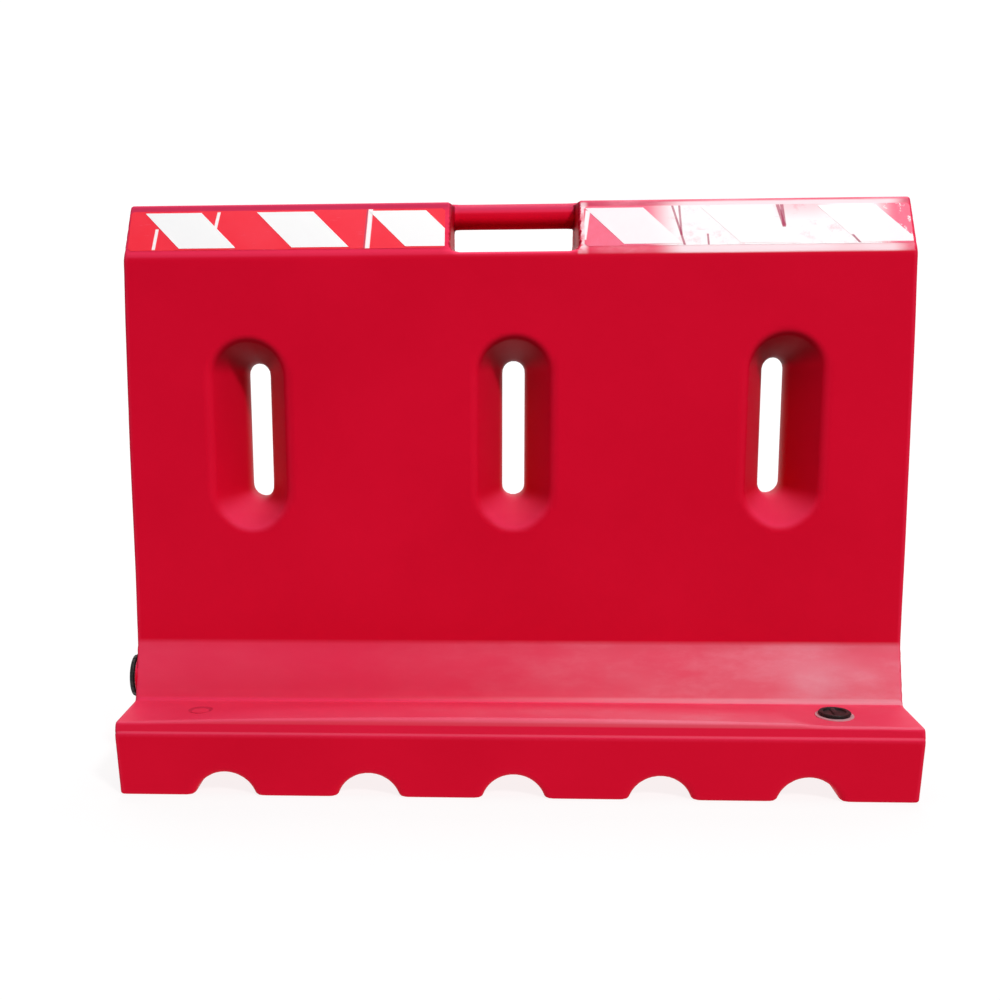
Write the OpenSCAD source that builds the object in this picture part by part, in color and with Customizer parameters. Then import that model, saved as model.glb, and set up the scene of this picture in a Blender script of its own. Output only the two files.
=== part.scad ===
// Water-filled plastic road barrier: one hollow moulding with a plinth, three
// funnel-shaped slots, a carrying bar in its roof and two screw plugs.
// Millimetres, +Z up. The origin is on the ground, at the middle of the moulding.
// X runs along the barrier, and -Y is the side with the fill plug.

/* [Body] */
// Length over the plinth
body_l = 1200; // [900:10:1500]
// Width over the plinth
body_w = 500; // [440:10:700]
// Height from the ground to the ridge
body_h = 880; // [740:10:1100]
// Thickness of the moulded wall
wall_t = 4; // [3:0.5:6]
// Front-to-back thickness of the upright panel
panel_w = 218; // [160:2:280]
// Front-to-back thickness of the flat ridge
ridge_w = 126; // [90:2:150]
// Height of the roof, from its lower edge to the ridge
roof_h = 80; // [60:1:110]
// How much shorter the ridge is than the plinth, at each end
ridge_inset = 14; // [4:1:30]
// How much shorter the roof's lower edge is than the plinth, at each end
eaves_inset = 11; // [3:1:25]

/* [Plinth] */
// Height of the ledge above the ground
ledge_h = 116; // [90:1:150]
// Height of the sloping band along the top of the plinth's wall
band_h = 16; // [8:1:24]
// How far the sloping band leans in
band_lean = 6; // [2:1:12]
// How far the plinth's front and back lean in at the ground
plinth_draft_y = 4; // [0:1:10]
// How far the plinth's ends lean in at the ground
plinth_draft_x = 4; // [0:1:12]
// Height of the sloping ramp above the ledge
ramp_h = 90; // [50:1:140]
// How far the ramp reaches out from the upright panel
ramp_d = 26; // [10:1:60]

/* [Moulded edges] */
// Radius of the body's long edges
edge_r = 9; // [4:0.5:14]
// Radius of the ramp's two long edges
ramp_r = 16; // [8:1:30]
// Radius of the outline's corners at the ends
corner_r = 8; // [4:0.5:14]

/* [Slots] */
// Number of slots
slot_count = 3; // [1:1:3]
// Distance from one slot to the next
slot_pitch = 406; // [280:2:440]
// Height of the slots' middle above the ground
slot_z = 531; // [440:1:640]
// Distance between the middles of a slot's round ends
slot_run = 180; // [120:2:240]
// Width of a slot at its narrowest
slot_w = 35; // [24:1:50]
// Length of the narrow throat, front to back
throat_l = 30; // [16:1:60]
// Width of the funnel where it meets the panel's face
funnel_w = 116; // [80:2:150]

/* [Handle] */
// Opening's width at the panel's faces
handle_w = 196; // [160:2:260]
// Opening's width at mid depth
handle_throat_w = 186; // [130:2:240]
// Height of the opening's floor above the roof's lower edge
handle_sill = 4; // [2:1:12]
// Diameter of the carrying bar
bar_d = 39; // [30:1:46]

/* [Channels under the plinth] */
// Number of channels
channel_count = 5; // [1:1:5]
// Distance from one channel to the next
channel_pitch = 218; // [150:1:230]
// Radius of a channel
channel_r = 48; // [30:1:60]
// How far a channel's centre line is below the ground
channel_sink = 12; // [0:1:20]

/* [Fill plug] */
// Distance from the right end to the fill plug
fill_inset = 119; // [80:1:160]
// How far the fill plug's head stands out past its thread
fill_head_rim = 6.5; // [4:0.5:12]
// Thickness of the fill plug's head
fill_head_t = 4; // [4:0.5:8]
// Diameter of the fill plug's thread
fill_thread_d = 36; // [28:1:40]
// How far the fill bush's flange stands out past the plug's head
fill_flange_rim = 4; // [2:0.5:8]

/* [Drain plug] */
// Height of the drain plug's middle above the ledge
drain_rise = 27; // [20:1:50]
// Distance from the panel's front face back to the drain plug's middle
drain_setback = 19; // [14:1:100]
// How far the drain plug's head stands out past its thread
drain_head_rim = 14; // [6:0.5:16]
// Thickness of the drain plug's head
drain_head_t = 6; // [4:0.5:12]
// Diameter of the drain plug's thread
drain_thread_d = 40; // [32:1:44]
// How far the drain bush's flange is inside the rim of the plug's head
drain_flange_rim = 3; // [1:0.5:4]
// How far the moulded boss stands out past the rim of the drain plug's head
drain_boss_rim = 1; // [1:0.5:4]
// How far the boss stands out past the plinth's end
drain_boss_h = 0.5; // [0.5:0.5:4]

/* [Plug fits] */
// Length of each plug's thread under its head
thread_l = 18; // [12:1:24]
// Radial gap between a plug's thread and its bush
thread_gap = 0.3; // [0.1:0.05:0.6]
// Wall of each bush's neck
bush_wall = 4; // [3:0.5:6]
// Thickness of each bush's flange
flange_t = 1.5; // [1:0.25:3]
// Thickness of each gasket
gasket_t = 1.5; // [1:0.25:3]
// Width of each gasket's ring
gasket_w = 5; // [3:0.5:5.5]
// Number of grip flutes around each head
flute_count = 16; // [8:1:24]
// Radius of a grip flute
flute_r = 2; // [1:0.25:3]
// Depth of the dish in each head
dish_d = 2.5; // [1:0.5:4]
// Width of the turning rib across each dish
rib_w = 7; // [5:0.5:10]

/* [Unused plug seat] */
// Diameter of the shallow seat at the other end of the ledge
seat_d = 34; // [24:1:44]
// Depth of the shallow seat
seat_depth = 1.5; // [1:0.25:2]

/* [Reflective tape] */
// Width of the red sheets, up the roof's slope
sheet_w = 68; // [44:1:70]
// Thickness of the red sheets
sheet_t = 0.5; // [0.3:0.1:1]
// Gap from the sheets to the roof's ends and to the handle
sheet_gap = 6; // [3:1:15]
// Height of the white stripes, up the roof's slope
stripe_h = 62; // [36:1:66]
// Width of a white stripe
stripe_w = 86; // [60:1:100]
// How far a stripe's foot is to the right of its top
stripe_lean = 56; // [20:1:70]
// Distance from the left sheet's end to the top of its first stripe
stripe_start_left = 22; // [0:1:40]
// Distance from the right sheet's end to the top of its first stripe
stripe_start_right = 2; // [0:1:40]
// Thickness of the white stripes
stripe_t = 0.4; // [0.2:0.1:0.8]
// White stripes on each sheet
stripe_count = 3; // [3:1:3]

/* [Hidden] */
$fn = 64;
bit = 1;
arc_steps = 4;
eaves_h = body_h - roof_h;
ramp_top = ledge_h + ramp_h;
panel_y = panel_w / 2;
ridge_y = ridge_w / 2;
front_y = body_w / 2;
end_x = body_l / 2;
slope_l = norm([panel_y - ridge_y, roof_h]);
slope_a = atan2(roof_h, panel_y - ridge_y);
throat_y = throat_l / 2;
throat_r = slot_w / 2;
funnel_r = funnel_w / 2;
funnel_k = (funnel_r - throat_r) / (panel_y - throat_y);
bar_r = bar_d / 2;
bar_z = body_h - bar_r;
fill_x = end_x - fill_inset;
fill_y = -(front_y - band_lean + panel_y + ramp_d) / 2;
fill_head_d = fill_thread_d + 2 * fill_head_rim;
fill_flange_d = fill_head_d + 2 * fill_flange_rim;
// Bare ledge on each side of the fill bush's flange.
ledge_room = (front_y - band_lean - panel_y - ramp_d - fill_flange_d) / 2;
drain_x = -end_x - drain_boss_h;
drain_y = panel_y - drain_setback;
drain_z = ledge_h + drain_rise;
drain_head_d = drain_thread_d + 2 * drain_head_rim;
drain_flange_d = drain_head_d - 2 * drain_flange_rim;
drain_boss_d = drain_head_d + 2 * drain_boss_rim;
sheet_l = end_x - eaves_inset - handle_w / 2 - 2 * sheet_gap;
stripe_pitch = sheet_l / (stripe_count - 0.2);
moulding_red = [0.78, 0.07, 0.16];
tape_red = [0.93, 0.20, 0.26];
tape_white = [0.97, 0.97, 0.96];
bush_grey = [0.72, 0.52, 0.54];
plug_black = [0.05, 0.05, 0.05];
gasket_black = [0.09, 0.08, 0.08];

// Half of the cross-section, from the ground up: [distance from the middle, height, corner radius].
half_section = [
    [front_y - plinth_draft_y, 0, 5],
    [front_y, ledge_h - band_h, 5],
    [front_y - band_lean, ledge_h, 5],
    [panel_y + ramp_d, ledge_h, min(ramp_r, ledge_room)],
    [panel_y, ramp_top, ramp_r],
    [panel_y, eaves_h, edge_r],
    [ridge_y, body_h, edge_r],
];

// Half of the outline seen from the front, in the same form.
half_outline = [
    [end_x - plinth_draft_x, 0, corner_r],
    [end_x, ledge_h - band_h, 3],
    [end_x - 2, ledge_h, 3],
    [end_x - 3, ramp_top, 3],
    [end_x - eaves_inset, eaves_h, 6],
    [end_x - ridge_inset, body_h, corner_r],
];

// The whole outline from its right half: the left half is the mirror image.
function both_sides(half) = concat(
    half,
    [for (i = [len(half) - 1:-1:0]) [-half[i][0], half[i][1], half[i][2]]]
);

function unit(v) = v / norm(v);

// Corner i of the loop p, moved in by t along both of its edges.
function inset_corner(p, i, t) =
    let (
        n = len(p),
        here = [p[i][0], p[i][1]],
        before = [p[(i + n - 1) % n][0], p[(i + n - 1) % n][1]],
        after = [p[(i + 1) % n][0], p[(i + 1) % n][1]],
        e1 = unit(here - before),
        e2 = unit(after - here),
        n1 = [-e1[1], e1[0]],
        n2 = [-e2[1], e2[0]],
        moved = here + t * (n1 + n2) / (1 + n1 * n2)
    )
    [moved[0], moved[1], p[i][2]];

// The loop p, which runs anticlockwise, moved in by t.
function inset_loop(p, t) = [for (i = [0:len(p) - 1]) inset_corner(p, i, t)];

// The points of corner i of the loop p, rounded to its own radius.
function round_corner(p, i) =
    let (
        n = len(p),
        here = [p[i][0], p[i][1]],
        to_before = unit([p[(i + n - 1) % n][0], p[(i + n - 1) % n][1]] - here),
        to_after = unit([p[(i + 1) % n][0], p[(i + 1) % n][1]] - here),
        half_angle = acos(to_before * to_after) / 2,
        cut = p[i][2] / tan(half_angle),
        centre = here + unit(to_before + to_after) * p[i][2] / sin(half_angle),
        first = here + to_before * cut - centre,
        last = here + to_after * cut - centre,
        sweep = 180 - 2 * half_angle
    )
    [
        for (s = [0:arc_steps])
        centre + (sin(sweep * (1 - s / arc_steps)) * first + sin(sweep * s / arc_steps) * last)
            / sin(sweep)
    ];

// The loop p with all of its corners rounded.
function round_loop(p) = [for (i = [0:len(p) - 1]) each round_corner(p, i)];

// The body's solid shape, moved in by t: its cross-section crossed with its outline.
module body_solid(t) {
    intersection() {
        rotate([90, 0, 90])
            linear_extrude(height = body_l + 2 * bit, center = true)
                polygon(round_loop(inset_loop(both_sides(half_section), t)));
        rotate([90, 0, 0])
            linear_extrude(height = body_w + 2 * bit, center = true)
                polygon(round_loop(inset_loop(both_sides(half_outline), t)));
    }
}

// Half of a slot's outline seen from above, grown by t, as [half width, depth] points.
function slot_half(t) =
    let (
        side = t * sqrt(1 + funnel_k * funnel_k),
        mouth_y = panel_y + bit,
        mouth_r = funnel_r + funnel_k * bit + side,
        neck_y = throat_y - (side - t) / funnel_k
    )
    [
        [mouth_r, -mouth_y], [throat_r + t, -neck_y], [throat_r + t, neck_y], [mouth_r, mouth_y]
    ];

// One slot with a funnel at each side: straight flanks between two round ends.
module slot(t) {
    half = slot_half(t);
    linear_extrude(height = slot_run, center = true)
        polygon(concat(half, [for (i = [len(half) - 1:-1:0]) [-half[i][0], half[i][1]]]));
    for (end = [-1, 1])
        translate([0, 0, end * slot_run / 2])
            rotate([-90, 0, 0])
                rotate_extrude()
                    polygon(concat([[0, half[0][1]]], half, [[0, half[3][1]]]));
}

// All the slots, each grown by t.
module slots(t) {
    for (i = [0:slot_count - 1])
        translate([(i - (slot_count - 1) / 2) * slot_pitch, 0, slot_z])
            slot(t);
}

// The channels under the plinth, each grown by t.
module channels(t) {
    for (i = [0:channel_count - 1])
        translate([(i - (channel_count - 1) / 2) * channel_pitch, 0, -channel_sink])
            rotate([90, 0, 0])
                cylinder(r = channel_r + t, h = body_w + 2 * bit, center = true);
}

// The opening around the carrying bar, grown by t: its side walls lean in to mid depth.
module handle_opening(t) {
    mouth_y = panel_y + bit;
    mouth_x = handle_w / 2 + t;
    waist_x = handle_throat_w / 2 + t;
    translate([0, 0, eaves_h + handle_sill - t])
        linear_extrude(height = roof_h)
            polygon([
                [mouth_x, -mouth_y], [waist_x, 0], [mouth_x, mouth_y],
                [-mouth_x, mouth_y], [-waist_x, 0], [-mouth_x, -mouth_y],
            ]);
}

// A round bar of radius r along the handle.
module handle_rod(r) {
    translate([0, 0, bar_z])
        rotate([0, 90, 0])
            cylinder(r = r, h = handle_w + 2 * wall_t, center = true);
}

// Children placed at the fill plug's seat, with their +Z pointing up.
module at_fill() {
    translate([fill_x, fill_y, ledge_h])
        children();
}

// Children placed at the drain plug's seat, with their +Z pointing out of the left end.
module at_drain() {
    translate([drain_x, -drain_y, drain_z])
        rotate([0, -90, 0])
            children();
}

// The hollow inside: the inset body, less a wall around each thing that passes through it.
module tank() {
    difference() {
        body_solid(wall_t);
        slots(wall_t);
        channels(wall_t);
        handle_opening(wall_t);
    }
    handle_rod(bar_r - wall_t);
}

module barrier_shell() {
    color(moulding_red)
        difference() {
            union() {
                difference() {
                    body_solid(0);
                    handle_opening(0);
                }
                handle_rod(bar_r);
                at_drain()
                    translate([0, 0, -drain_boss_h - wall_t])
                        cylinder(d = drain_boss_d, h = drain_boss_h + wall_t);
            }
            tank();
            slots(0);
            channels(0);
            at_fill()
                translate([0, 0, -wall_t - bit])
                    cylinder(r = neck_r(fill_thread_d), h = wall_t + 2 * bit);
            at_drain()
                translate([0, 0, -drain_boss_h - 3 * wall_t])
                    cylinder(r = neck_r(drain_thread_d), h = drain_boss_h + 4 * wall_t);
            translate([-fill_x, fill_y, ledge_h - seat_depth])
                cylinder(d = seat_d, h = seat_depth + bit);
        }
}

// Bore radius of the bush for a thread of diameter d.
function bore_r(d) = d / 2 + thread_gap;

// Neck radius of the bush for a thread of diameter d.
function neck_r(d) = bore_r(d) + bush_wall;

// A moulded-in bush: a flange on the seat and a neck down through the wall.
module bush(thread_d, flange_d) {
    color(bush_grey)
        rotate_extrude()
            polygon([
                [bore_r(thread_d), flange_t], [bore_r(thread_d), -thread_l],
                [neck_r(thread_d), -thread_l], [neck_r(thread_d), 0],
                [flange_d / 2, 0], [flange_d / 2, flange_t],
            ]);
}

// A flat ring under a plug's head.
module gasket(thread_d) {
    color(gasket_black)
        translate([0, 0, flange_t])
            rotate_extrude()
                translate([bore_r(thread_d), 0])
                    square([gasket_w, gasket_t]);
}

// A screw plug: a fluted head with a dish and a turning rib, on a hollow threaded shank.
module plug(head_d, head_t, thread_d) {
    head_z = flange_t + gasket_t;
    dish_r = head_d / 2 - 7;
    color(plug_black)
        translate([0, 0, head_z]) {
            difference() {
                cylinder(d = head_d, h = head_t);
                translate([0, 0, head_t - dish_d])
                    cylinder(r = dish_r, h = dish_d + bit);
                for (i = [0:flute_count - 1])
                    rotate([0, 0, i * 360 / flute_count])
                        translate([head_d / 2 + flute_r / 3, 0, -bit])
                            cylinder(r = flute_r, h = head_t + 2 * bit, $fn = 24);
            }
            intersection() {
                translate([-rib_w / 2, -dish_r - bit, head_t - dish_d])
                    cube([rib_w, 2 * (dish_r + bit), dish_d - 0.5]);
                cylinder(r = dish_r + bit / 2, h = head_t);
            }
            translate([0, 0, -thread_l])
                difference() {
                    cylinder(d = thread_d, h = thread_l);
                    translate([0, 0, -bit])
                        cylinder(r = thread_d / 2 - bush_wall, h = thread_l + bit);
                }
        }
}

module fill_bush() {
    at_fill() bush(fill_thread_d, fill_flange_d);
}

module fill_gasket() {
    at_fill() gasket(fill_thread_d);
}

module fill_plug() {
    at_fill() plug(fill_head_d, fill_head_t, fill_thread_d);
}

module drain_bush() {
    at_drain() bush(drain_thread_d, drain_flange_d);
}

module drain_gasket() {
    at_drain() gasket(drain_thread_d);
}

module drain_plug() {
    at_drain() plug(drain_head_d, drain_head_t, drain_thread_d);
}

// Children placed on the roof's slope, X along it and Y up it from its lower edge,
// on the front (turn 0) or on the back (turn 180).
module on_roof(turn) {
    rotate([0, 0, turn])
        translate([0, -panel_y, eaves_h])
            rotate([slope_a, 0, 0])
                children();
}

// Left end of the sheet on the left (side -1) or on the right (side 1) of the handle.
function sheet_x(side) =
    side < 0 ? -handle_w / 2 - sheet_gap - sheet_l : handle_w / 2 + sheet_gap;

// A red sheet of reflective tape.
module sheet(turn, side) {
    color(tape_red)
        on_roof(turn)
            translate([sheet_x(side), (slope_l - sheet_w) / 2, 0])
                cube([sheet_l, sheet_w, sheet_t]);
}

// White stripe i of a sheet: a leaning panel, cut off square at the sheet's end.
module stripe(turn, side, i) {
    left = (side < 0 ? stripe_start_left : stripe_start_right) + i * stripe_pitch;
    color(tape_white)
        on_roof(turn)
            translate([sheet_x(side), (slope_l - stripe_h) / 2, sheet_t])
                intersection() {
                    linear_extrude(height = stripe_t)
                        polygon([
                            [left, stripe_h], [left + stripe_lean, 0],
                            [left + stripe_lean + stripe_w, 0], [left + stripe_w, stripe_h],
                        ]);
                    cube([sheet_l, stripe_h, stripe_t]);
                }
}

barrier_shell();
fill_bush();
fill_gasket();
fill_plug();
drain_bush();
drain_gasket();
drain_plug();
sheet(0, -1);  // sheet_front_left
sheet(0, 1);  // sheet_front_right
sheet(180, -1);  // sheet_back_left
sheet(180, 1);  // sheet_back_right
stripe(0, -1, 0);  // stripe_front_left_1
stripe(0, -1, 1);  // stripe_front_left_2
stripe(0, -1, 2);  // stripe_front_left_3
stripe(0, 1, 0);  // stripe_front_right_1
stripe(0, 1, 1);  // stripe_front_right_2
stripe(0, 1, 2);  // stripe_front_right_3
stripe(180, -1, 0);  // stripe_back_left_1
stripe(180, -1, 1);  // stripe_back_left_2
stripe(180, -1, 2);  // stripe_back_left_3
stripe(180, 1, 0);  // stripe_back_right_1
stripe(180, 1, 1);  // stripe_back_right_2
stripe(180, 1, 2);  // stripe_back_right_3
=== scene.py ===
"""The looks of a water-filled plastic road barrier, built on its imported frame."""

import logging
import math
from dataclasses import dataclass
from enum import Enum
from typing import Callable

import bmesh
import bpy
import numpy as np
from mathutils import Matrix, Vector


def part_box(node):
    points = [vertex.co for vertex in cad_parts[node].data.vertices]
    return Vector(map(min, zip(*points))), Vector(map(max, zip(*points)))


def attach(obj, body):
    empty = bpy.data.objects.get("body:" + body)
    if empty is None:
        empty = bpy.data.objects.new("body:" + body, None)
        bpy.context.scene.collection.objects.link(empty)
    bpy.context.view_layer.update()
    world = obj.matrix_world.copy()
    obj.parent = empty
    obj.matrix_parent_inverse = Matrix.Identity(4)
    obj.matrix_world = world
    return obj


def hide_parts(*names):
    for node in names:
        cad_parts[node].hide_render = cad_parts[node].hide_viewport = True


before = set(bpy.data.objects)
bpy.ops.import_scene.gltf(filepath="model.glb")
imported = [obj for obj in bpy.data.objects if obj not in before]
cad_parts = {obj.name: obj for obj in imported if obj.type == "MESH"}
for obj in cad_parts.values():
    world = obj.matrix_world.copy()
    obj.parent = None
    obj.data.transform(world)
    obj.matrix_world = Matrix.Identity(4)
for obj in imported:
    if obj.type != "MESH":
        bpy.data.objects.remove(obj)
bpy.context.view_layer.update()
LOG = logging.getLogger("barrier")

Colour = tuple[float, float, float]
Pair = tuple[float, float]
Point = tuple[float, float, float]
Distance = Callable[[np.ndarray], np.ndarray]

FILL_AT: Point = (0.481, -0.1895, 0.116)
DRAIN_AT: Point = (-0.6005, -0.090, 0.143)
BLANK_SEAT: Pair = (-0.481, -0.1895)


def srgb(red: int, green: int, blue: int) -> Colour:
    """Turns a display colour of 0 to 255 into the linear colour that shaders use.

    Args:
        red: The display colour's red, 0 to 255.
        green: Its green.
        blue: Its blue.

    Returns:
        The linear colour, 0 to 1.
    """
    return tuple(
        c / 12.92 if c <= 0.04045 else ((c + 0.055) / 1.055) ** 2.4
        for c in (red / 255, green / 255, blue / 255)
    )


class Body(Enum):
    """The rigid bodies that pieces ride on."""

    BARRIER = "barrier"
    FILL_SEAL = "fill_seal"
    FILL_SCREW = "fill_screw"
    DRAIN_SEAL = "drain_seal"
    DRAIN_SCREW = "drain_screw"


class Slot(Enum):
    """The record's material slots."""

    MOULDING = "moulded_body"
    BUSH = "bush_plastic"
    RUBBER = "gasket_rubber"
    PLUG = "plug_plastic"
    TAPE_RED = "tape_red"
    TAPE_WHITE = "tape_white"


# Shader expressions


class Wire:
    """A shader output that takes part in Python arithmetic."""

    def __init__(self, kit: "ShaderKit", socket: bpy.types.NodeSocket) -> None:
        self.kit = kit
        self.socket = socket

    def __add__(self, other: "Wire | float") -> "Wire":
        """self + other."""
        return self.kit.maths("ADD", self, other)

    __radd__ = __add__

    def __sub__(self, other: "Wire | float") -> "Wire":
        """self - other."""
        return self.kit.maths("SUBTRACT", self, other)

    def __rsub__(self, other: "Wire | float") -> "Wire":
        """other - self."""
        return self.kit.maths("SUBTRACT", other, self)

    def __mul__(self, other: "Wire | float") -> "Wire":
        """self * other."""
        return self.kit.maths("MULTIPLY", self, other)

    __rmul__ = __mul__

    def __pow__(self, other: float) -> "Wire":
        """self to a power."""
        return self.kit.maths("POWER", self, other)

    def __abs__(self) -> "Wire":
        """The absolute value."""
        return self.kit.maths("ABSOLUTE", self)

    def clamped(self) -> "Wire":
        """The value held between 0 and 1."""
        return self.ramp(0.0, 1.0, smooth=False)

    def ramp(self, low: float, high: float, smooth: bool = True) -> "Wire":
        """The value as it rises from 0 at low to 1 at high, held outside them.

        Args:
            low: The value that gives 0.
            high: The value that gives 1, which may be below low.
            smooth: Whether the rise eases in and out.

        Returns:
            The ramped value.
        """
        node = self.kit.node(
            "ShaderNodeMapRange",
            {"interpolation_type": "SMOOTHSTEP" if smooth else "LINEAR", "clamp": True},
            {"Value": self, "From Min": low, "From Max": high},
        )
        return Wire(self.kit, node.outputs["Result"])

    def near(self, place: float, fade: float, full: float) -> "Wire":
        """1 where the value is within full of a place, and 0 where it is past fade."""
        return abs(self - place).ramp(fade, full)

    def between(self, start: float, full: float, last: float, end: float) -> "Wire":
        """1 from full to last, and 0 before start and after end."""
        return self.ramp(start, full) * self.ramp(end, last)


class ShaderKit:
    """Builds one material from Python expressions."""

    def __init__(self, name: str) -> None:
        """Starts an empty material.

        Args:
            name: The material's name.
        """
        self.material = bpy.data.materials.new(name)
        self.material.use_nodes = True
        self.tree = self.material.node_tree
        self.tree.nodes.clear()

    def feed(self, socket: bpy.types.NodeSocket, value: object) -> None:
        """Links a wire to a socket, or sets the socket's own value.

        Args:
            socket: The input to fill.
            value: A wire, a colour or a plain value.
        """
        if isinstance(value, Wire):
            self.tree.links.new(value.socket, socket)
        elif isinstance(value, tuple) and socket.type == "RGBA":
            socket.default_value = (*value[:3], 1.0)
        else:
            socket.default_value = value

    def node(
        self, kind: str, settings: dict | None = None, inputs: dict | None = None
    ) -> bpy.types.Node:
        """Adds any node.

        Args:
            kind: The node's type name.
            settings: Its properties, which are set first.
            inputs: Values or wires by socket name or number.

        Returns:
            The new node.
        """
        made = self.tree.nodes.new(kind)
        for key, value in (settings or {}).items():
            setattr(made, key, value)
        for key, value in (inputs or {}).items():
            self.feed(made.inputs[key], value)
        return made

    def maths(self, operation: str, *values: Wire | float) -> Wire:
        """Adds a Math node and returns its result."""
        inputs = dict(enumerate(values))
        return Wire(self, self.node("ShaderNodeMath", {"operation": operation}, inputs).outputs[0])

    def place(self, stretch: Point = (1.0, 1.0, 1.0), turn: float = 0.0) -> Wire:
        """Object coordinates in metres, stretched along each axis and turned about Y.

        Args:
            stretch: How many times finer a texture gets along X, Y and Z.
            turn: Turn about Y in radians.

        Returns:
            The texture's coordinates.
        """
        coords = self.node("ShaderNodeTexCoord").outputs["Object"]
        mapped = self.node(
            "ShaderNodeMapping",
            {},
            {"Vector": Wire(self, coords), "Scale": stretch, "Rotation": (0.0, turn, 0.0)},
        )
        return Wire(self, mapped.outputs["Vector"])

    def axes(self, vector: Wire) -> tuple[Wire, Wire, Wire]:
        """The three components of a vector."""
        node = self.node("ShaderNodeSeparateXYZ", {}, {"Vector": vector})
        return tuple(Wire(self, out) for out in node.outputs)

    def facing(self) -> tuple[Wire, Wire, Wire]:
        """How far the surface faces right, back and up, each from -1 to 1."""
        return self.axes(Wire(self, self.node("ShaderNodeNewGeometry").outputs["Normal"]))

    def attribute(self, name: str) -> Wire:
        """A number stored on the mesh."""
        node = self.node("ShaderNodeAttribute", {"attribute_name": name})
        return Wire(self, node.outputs["Fac"])

    def noise(
        self, scale: float, detail: float = 3.0, rough: float = 0.55, at: Wire | None = None
    ) -> Wire:
        """Cloudy noise from 0 to 1, scale times to the metre.

        Args:
            scale: How fine the noise is.
            detail: How many finer layers it has.
            rough: How strong the finer layers are.
            at: The coordinates, if not the plain ones.

        Returns:
            The noise.
        """
        node = self.node(
            "ShaderNodeTexNoise",
            {},
            {
                "Vector": at or self.place(),
                "Scale": scale,
                "Detail": detail,
                "Roughness": rough,
            },
        )
        return Wire(self, node.outputs["Fac"])

    def cells(self, scale: float) -> Wire:
        """Distance to the nearest cell centre, scale cells to the metre."""
        node = self.node("ShaderNodeTexVoronoi", {}, {"Vector": self.place(), "Scale": scale})
        return Wire(self, node.outputs["Distance"])

    def mixed(self, factor: Wire | float, a: Wire | Colour, b: Wire | Colour) -> Wire:
        """Colour a where the factor is 0, and b where it is 1."""
        # The Mix node's sockets share names: 0 is the factor, 6 and 7 are the colours.
        node = self.node("ShaderNodeMix", {"data_type": "RGBA"}, {0: factor, 6: a, 7: b})
        return Wire(self, node.outputs[2])

    def bump(self, height: Wire, strength: float, distance: float) -> Wire:
        """A normal that is pushed about by a height.

        Args:
            height: The height that varies.
            strength: How strongly it shows, 0 to 1.
            distance: How deep a height of 1 is, in metres.

        Returns:
            The normal.
        """
        node = self.node(
            "ShaderNodeBump", {}, {"Height": height, "Strength": strength, "Distance": distance}
        )
        return Wire(self, node.outputs["Normal"])

    def finish(self, inputs: dict) -> bpy.types.Material:
        """Closes the material with a Principled shader.

        Args:
            inputs: The shader's values or wires by socket name.

        Returns:
            The finished material.
        """
        shader = self.node("ShaderNodeBsdfPrincipled", {}, inputs)
        self.node("ShaderNodeOutputMaterial", {}, {"Surface": Wire(self, shader.outputs["BSDF"])})
        return self.material


# Finishes


class MouldingMarks:
    """Where a point of the moulding is, and the noises that its wear follows."""

    def __init__(self, kit: ShaderKit) -> None:
        """Adds the nodes that the moulding's colours share.

        Args:
            kit: The material being built.
        """
        self.x, self.y, self.z = kit.axes(kit.place())
        self.across, _, self.up = kit.facing()
        self.edge, self.hollow = kit.attribute("edge"), kit.attribute("hollow")
        self.ramp_zone = kit.attribute("ramp_zone") * abs(self.across).ramp(0.7, 0.4)
        self.low = self.z.ramp(0.3, 0.2)
        self.roof = self.z.ramp(0.798, 0.802)
        self.to_right = self.x.ramp(-0.30, 0.50)
        self.cloud = kit.noise(3.5, 4.0, 0.6)
        self.speck = kit.noise(160.0, 2.0, 0.6)
        self.streak = kit.noise(9.0, 4.0, 0.6, kit.place((6.0, 6.0, 0.7)))
        self.haze = kit.noise(5.0, 3.0, 0.6, kit.place((0.8, 1.5, 1.5))).ramp(0.3, 0.72)
        smeared = kit.noise(14.0, 5.0, 0.65, kit.place((0.8, 1.0, 2.2), 0.1))
        self.wiped = smeared.ramp(0.4, 0.75)


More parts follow.
